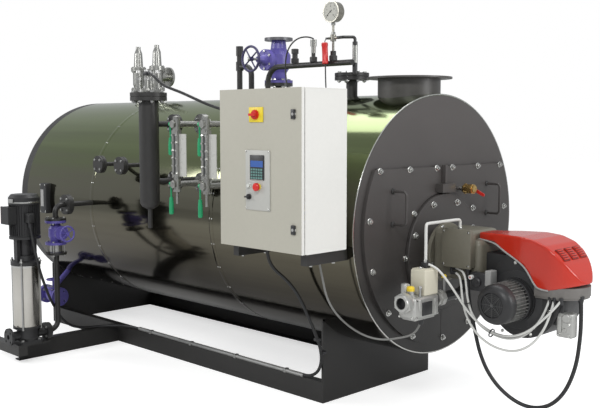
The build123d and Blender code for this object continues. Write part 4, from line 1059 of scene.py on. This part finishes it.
for row, (z, step, count) in enumerate(((1.568, 0.036, 12), (1.338, 0.054, 8), (1.118, 0.018, 24))):
    for unit in range(count):
        left = -0.107 + unit * step
        shade = (cap_white, moulded_black, knob_yellow)[row]
        equipment.append(slab(shade, (left, -0.840 + 0.012 * row, z - 0.040),
                              (left + step - 0.001, -0.777, z + 0.040), 0.002, 1))
        equipment.append(slab(moulded_black, (left + step * 0.3, -0.848 + 0.012 * row, z - 0.008),
                              (left + step * 0.6, -0.838 + 0.012 * row, z + 0.010), 0.001, 1))
assemble("cabinet_equipment", equipment)
assemble("cabinet_seams", [
    slab(box_coat, (0.4085, -1.030, z - 0.0035), (0.4108, -0.750, z + 0.0010), 0.0005, 1)
    for z in (0.9495, 1.7465)
])
assemble("bracket_bolts", copies(stud_nut(0.017, False), [
    ((x, y, 0.886), down) for x in (-0.130, 0.370) for y in (-0.960, -0.800)
], bright_steel))


# Valves on top of the drum
# Cast globe valve in violet-blue enamel with machined flange faces; its yoke flange and
# the flange joint on its nozzle are held by plated nuts.
valve_blue = enamel("valve_blue", (0.115, 0.095, 0.36), 0.33, drift=0.14, grain=0.0005)
steam_finish = enamel("steam_finish", (0.115, 0.095, 0.36), 0.33, drift=0.14, grain=0.0005, zones=(
    ((None, None, 2.1115), (None, None, 2.14), (0.13, 0.13, 0.14), 0.3),
    ((None, None, 1.70), (None, None, 1.8385), (0.03, 0.03, 0.03), 0.0),
    ((None, -0.24, 1.97), (None, -0.187, 2.00), (0.45, 0.45, 0.44), 0.9),
))
wheel_black = enamel("wheel_black", (0.045, 0.038, 0.11), 0.35)
paint(steam_finish, "steam_valve")
paint(wheel_black, "steam_valve_wheel")
paint(valve_blue, "feed_valve", "feed_valve_wheel", "blow_down_valve", "blow_down_wheel")


def flange_bolt(across, grip):
    """A bolt through a flange joint, with its head above and its nut below the grip."""
    corner = across / 2 / math.cos(math.radians(30))
    shank = across * 0.24
    nut_end = -grip - across * 0.50
    return turned([
        (-grip - across * 0.75, across * 0.22), (nut_end, shank), (nut_end, corner * 0.9),
        (-grip - across * 0.46, corner), (-grip, corner), (-grip, shank), (0, shank), (0, corner),
        (across * 0.46, corner), (across * 0.52, corner * 0.88),
    ], 6)


def bolted(across, grip, finish, *circle):
    """Flange bolts round a circle of places, which is given as ring() takes it."""
    return copies(flange_bolt(across, grip), ring(*circle), finish)


steam_bolts = bolted(0.019, 0.038, bright_steel, (-0.866, 0, 1.856), up, 0.0725, 8, 22.5)
steam_bolts += bolted(0.015, 0.029, bright_steel, (-0.866, -0.125, 1.984), near, 0.056, 6, 30)
assemble("steam_valve_bolts", steam_bolts)
assemble("steam_wheel_nut", copies(turned([(0, 0.012), (0.009, 0.012), (0.011, 0.010)], 6),
                                   [((-0.866, -0.260, 1.984), near)], bright_steel), "steam_wheel")
assemble("top_nozzle_bolts", bolted(0.019, 0.043, bright_steel, (-0.225, 0, 1.879), up, 0.082, 8, 22.5))
tap_bolts = []
for x, height in ((-1.675, 1.309), (-1.428, 1.309), (-0.860, 1.573), (-0.860, 1.240), (-0.600, 1.573),
                  (-0.600, 1.240), (-0.340, 1.573), (-0.340, 1.240)):
    tap_bolts += ring((x, -0.870, height), near, 0.042, 4, 45)
assemble("tap_flange_bolts", copies(flange_bolt(0.014, 0.036), tap_bolts, galvanised))
assemble("standpipe_bolts", bolted(0.020, 0.046, galvanised, (-0.860, -1.035, 1.752), up, 0.087, 8, 22.5))
feed_bolts = bolted(0.016, 0.036, galvanised, (-1.990, -0.938, 1.029), near, 0.053, 4, 45)
feed_bolts += bolted(0.016, 0.030, galvanised, (-1.990, -1.008, 0.942), up, 0.055, 4, 45)
feed_bolts += bolted(0.016, 0.084, galvanised, (-1.990, -1.008, 0.781), up, 0.055, 4, 45)
assemble("feed_flange_bolts", feed_bolts)
drain_bolts = bolted(0.016, 0.032, galvanised, (-2.784, -0.640, 0.268), front, 0.050, 4, 45)
drain_bolts += bolted(0.013, 0.016, galvanised, (-2.700, -0.640, 0.336), up, 0.038, 4, 45)
assemble("blow_down_bolts", drain_bolts)


# Check valve below the feed valve
# A plated wafer check valve clamped between the flanges by the long bolts.
wafer = [(0.712, 0.0385), (0.714, 0.0400), (0.762, 0.0400), (0.764, 0.0385)]
assemble("check_valve", [round_part(galvanised, (-1.990, -1.008, 0), up, wafer, 40)])


# Pressure instruments
# A dial gauge in a plated case on its cock, the black limiter and its hose, and the
# plated pressure transmitter.
plated = enamel("plated", (0.36, 0.36, 0.34), 0.30, drift=0.08, grain=0.00002, metal=0.9)
gauge_case = enamel("gauge_case", (0.30, 0.29, 0.255), 0.28, drift=0.07, grain=0.00002, metal=0.9)
light_frames = [
    ((-0.5735, None, None), (-0.5130, None, None), (0.50, 0.50, 0.47), 0.1),
    ((-0.3135, None, None), (-0.2530, None, None), (0.50, 0.50, 0.47), 0.1),
]
gauge_finish = enamel("gauge_finish", (0.36, 0.36, 0.34), 0.30, drift=0.08, grain=0.00002,
                      metal=0.9, zones=light_frames)
black_cases = [
    ((-0.21, None, 2.030), (0.0, None, 2.20), (0.03, 0.03, 0.03), 0.0),
    ((-0.21, None, 1.80), (0.0, None, 1.93), (0.03, 0.03, 0.03), 0.0),
]
instrument_finish = enamel("instrument_finish", (0.34, 0.34, 0.32), 0.30, drift=0.07, grain=0.00002,
                           metal=0.9, zones=black_cases)
dial_white = enamel("dial_white", (0.46, 0.455, 0.41), 0.45, drift=0.02)
ink = enamel("ink", (0.02, 0.02, 0.02), 0.4)
paint(gauge_case, "pressure_gauge")
paint(instrument_finish, "pressure_instruments")
gauge_centre = Vector((-0.240, -0.150, 2.231))
dial_front = gauge_centre + Vector((0, -0.0250, 0))
dial = [round_part(dial_white, dial_front, near, [(-0.0012, 0.0575), (0, 0.0575)], 48)]
for step in range(31):
    turn = math.radians(225 - 270 * step / 30)
    long_mark = step % 5 == 0
    out = Vector((math.cos(turn), 0, math.sin(turn)))
    inner = 0.040 if long_mark else 0.0445
    dial.append(tube([dial_front + out * inner, dial_front + out * 0.050],
                     0.0010 if long_mark else 0.0006, ink, smooth=False))
resting_share = 0.02
pointer = math.radians(225 - 270 * resting_share)
tip = Vector((math.cos(pointer), 0, math.sin(pointer)))
needle = dial_front + Vector((0, -0.0014, 0))
dial.append(tube([needle - tip * 0.014, needle + tip * 0.040], 0.0013, ink, smooth=False))
dial.append(round_part(ink, dial_front, near, [(0, 0.005), (0.003, 0.0045)], 16))
for count, number in enumerate(("0", "4", "8", "12", "16")):
    turn = math.radians(225 - 270 * count / 4)
    bpy.ops.object.select_all(action="DESELECT")
    bpy.ops.object.text_add()
    figure = bpy.context.object
    figure.data.body = number
    figure.data.size = 0.013
    figure.data.align_x = "CENTER"
    figure.data.align_y = "CENTER"
    figure.data.extrude = 0.0002
    figure = as_mesh(figure)
    place = dial_front + Vector((math.cos(turn) * 0.031, -0.0003, math.sin(turn) * 0.031))
    figure.data.transform(Matrix.Translation(place) @ Matrix.Rotation(math.radians(90), 4, "X"))
    dial.append(coat(figure, ink))
assemble("gauge_dial", dial)
nuts = copies(turned([(0, 0.013), (0.014, 0.013), (0.016, 0.011)], 6), [
    (gauge_centre + Vector((0, 0, -0.078)), up),
    ((-0.240, -0.150, 2.098), up),
    ((-0.403, -0.150, 1.998), up),
], plated)
assemble("instrument_nuts", nuts)
sockets = copies(turned([(0, 0.024), (0.026, 0.024), (0.029, 0.021)], 8), [
    ((x, -0.150, z), up)
    for x, z in ((-0.562, 1.948), (-0.403, 1.948), (-0.240, 1.948), (-0.562, 2.005))
], black_enamel)
assemble("manifold_sockets", sockets)
assemble("cock_handle", [slab(moulded_black, (-0.300, -0.156, 2.073), (-0.262, -0.144, 2.085), 0.003)])


# Safety valves
# Plated spring safety valves with a flanged bonnet and a domed lifting cap.
paint(plated, "safety_valves")
for name, height, across, grip, circle, count, first in (
    ("safety_valve_bolts", 2.008, 0.012, 0.030, 0.050, 6, 30),
    ("safety_nozzle_bolts", 1.848, 0.014, 0.036, 0.046, 4, 45),
):
    places = [place for x in (-2.450, -2.208) for place in ring((x, 0, height), up, circle, count, first)]
    assemble(name, copies(flange_bolt(across, grip), places, galvanised))


# Level electrodes
# Four plated electrode heads screwed into the standpipe's cover, each with its cap nut.
paint(plated, "level_electrodes")
heads = [((x, y, 1.752), up) for x in (-0.8989, -0.8211) for y in (-1.0739, -0.9961)]
head_nuts = copies(turned([(0, 0.021), (0.016, 0.021), (0.019, 0.018)], 6), heads, plated)
cap_nuts = copies(turned([(0.070, 0.0155), (0.084, 0.0155), (0.086, 0.013)], 6), heads, galvanised)
cap_nuts += copies(turned([(0.110, 0.0145), (0.126, 0.0125), (0.1275, 0.009)], 16), heads, galvanised)
assemble("electrode_nuts", head_nuts + cap_nuts)
collar = slab(moulded_black, (-0.838, -1.090, 1.846), (-0.800, -1.058, 1.870), 0.006, 3)
assemble("electrode_plug", [collar])


# Level gauges
# A steel frame round a dark reflex glass, bolted down both sides, between plated cocks
# with drain screws below and green grips.
glass_dark = enamel("glass_dark", (0.012, 0.014, 0.013), 0.12, drift=0.1, coat=1.0)
paint(gauge_finish, "level_gauges")
grip_green = enamel("grip_green", (0.012, 0.30, 0.12), 0.35, drift=0.06)
paint(grip_green, "gauge_1_upper_handle", "gauge_1_lower_handle", "gauge_2_upper_handle",
      "gauge_2_lower_handle")
frame_nuts, cock_nuts, glasses = [], [], []
for x in (-0.600, -0.340):
    for row in range(6):
        for side in (-0.0175, 0.0175):
            frame_nuts.append(((x + side, -1.0498, 1.3010 + 0.0422 * row), near))
    glasses.append(slab(glass_dark, (x - 0.0088, -1.0503, 1.2935), (x + 0.0088, -1.0405, 1.5195), 0.0008,
                        1))
    for height in (1.573, 1.240):
        cock_nuts.append(((x, -1.035, height + 0.030), up))
        cock_nuts.append(((x, -1.035, height - 0.042), up))
        cock_nuts.append(((x, -1.056, height), near))
assemble("gauge_glasses", glasses)
assemble("gauge_frame_nuts", copies(turned([(0, 0.0068), (0.0062, 0.0068), (0.0072, 0.0056)], 6),
                                    frame_nuts, bright_steel))
assemble("gauge_cock_nuts", copies(turned([(0, 0.0225), (0.012, 0.0225), (0.014, 0.019)], 6), cock_nuts,
                                   plated))


# Feed pump
# A vertical multistage pump: black castings top and bottom, a polished sleeve held by
# four stay bolts, and a finned motor with a silver band and a terminal box.
# Painted reflection: the polished sleeve is painted lighter at mid-height.
sleeve_reflection_shades = [(0.52, 0.50, 0.46), (0.62, 0.60, 0.56), (0.56, 0.54, 0.50)]
sleeve_steel = polished_sheet("sleeve_steel", sleeve_reflection_shades, 0.16, 0.2, 0.5)
paint(sleeve_steel, "pump_sleeve")
paint(burner_black, "pump_base", "pump_head", "pump_motor")
pump_centre = Vector((-1.990, -1.232, 0.0))
stays = []
for place, way in ring(pump_centre, up, 0.090, 4, 45):
    stays.append(tube([place + Vector((0, 0, 0.228)), place + Vector((0, 0, 0.700))], 0.0065, galvanised,
                      smooth=False))
nut_places = [(place + Vector((0, 0, 0.677)), way) for place, way in ring(pump_centre, up, 0.090, 4, 45)]
stays += copies(stud_nut(0.020, False), nut_places, bright_steel)
assemble("pump_stays", stays)
fin = slab(burner_black, (0.086, -0.0018, 0.850), (0.0985, 0.0018, 1.048), 0.0008, 1)
motor_parts = copies(fin, [(pump_centre, up)] * 36, burner_black, math.radians(10))
motor_parts.append(round_part(bright_steel, pump_centre, up,
                              [(1.062, 0.0996), (1.063, 0.1006), (1.071, 0.1006), (1.072, 0.0996)], 48))
motor_parts.append(slab(burner_black, (-2.043, -1.3718, 0.927), (-1.937, -1.3640, 1.043), 0.004))
motor_parts.append(slab(cap_white, (-2.046, -1.3650, 0.985), (-2.039, -1.3180, 1.036), 0.002))
motor_parts.append(slab(burner_black, (-1.918, -1.278, 0.940), (-1.850, -1.234, 1.000), 0.005))
motor_parts.append(slab(plate_grey, (-2.000, -1.3380, 1.0650), (-1.952, -1.3280, 1.090), 0.002))
assemble("pump_motor_details", motor_parts)
port_bolts = bolted(0.015, 0.034, galvanised, (-1.990, -1.094 + 0.018, 0.187), far, 0.0425, 4, 45)
port_bolts += copies(stud_nut(0.018, False), [
    ((x, y, 0.152), up) for x in (-2.062, -1.944) for y in (-1.290, -1.174)
], galvanised)
assemble("pump_bolts", port_bolts)
bands = []
for low, high in ((0.236, 0.244), (0.640, 0.652)):
    wall = [(low, 0.0862), (low, 0.0885), (high, 0.0885), (high, 0.0862)]
    bands.append(round_part(bright_steel, pump_centre, up, wall, 64))
assemble("sleeve_bands", bands)


# Fittings on the cladding
# A small black moulded junction box with a bare grey plate, screwed to the sheet by its
# four corners.
junction = [
    slab(burner_black, (-2.645, -0.762, 0.914), (-2.560, -0.712, 1.136), 0.006, 3),
    slab(plate_grey, (-2.630, -0.7645, 0.965), (-2.590, -0.7610, 1.090), 0.001, 1),
]
junction += copies(turned([(0, 0.006), (0.002, 0.006), (0.003, 0.004)], 12), [
    ((x, -0.762, z), near) for x in (-2.636, -2.569) for z in (0.926, 1.124)
], bright_steel)
assemble("junction_box", junction)

bpy.context.scene.view_settings.view_transform = "Standard"
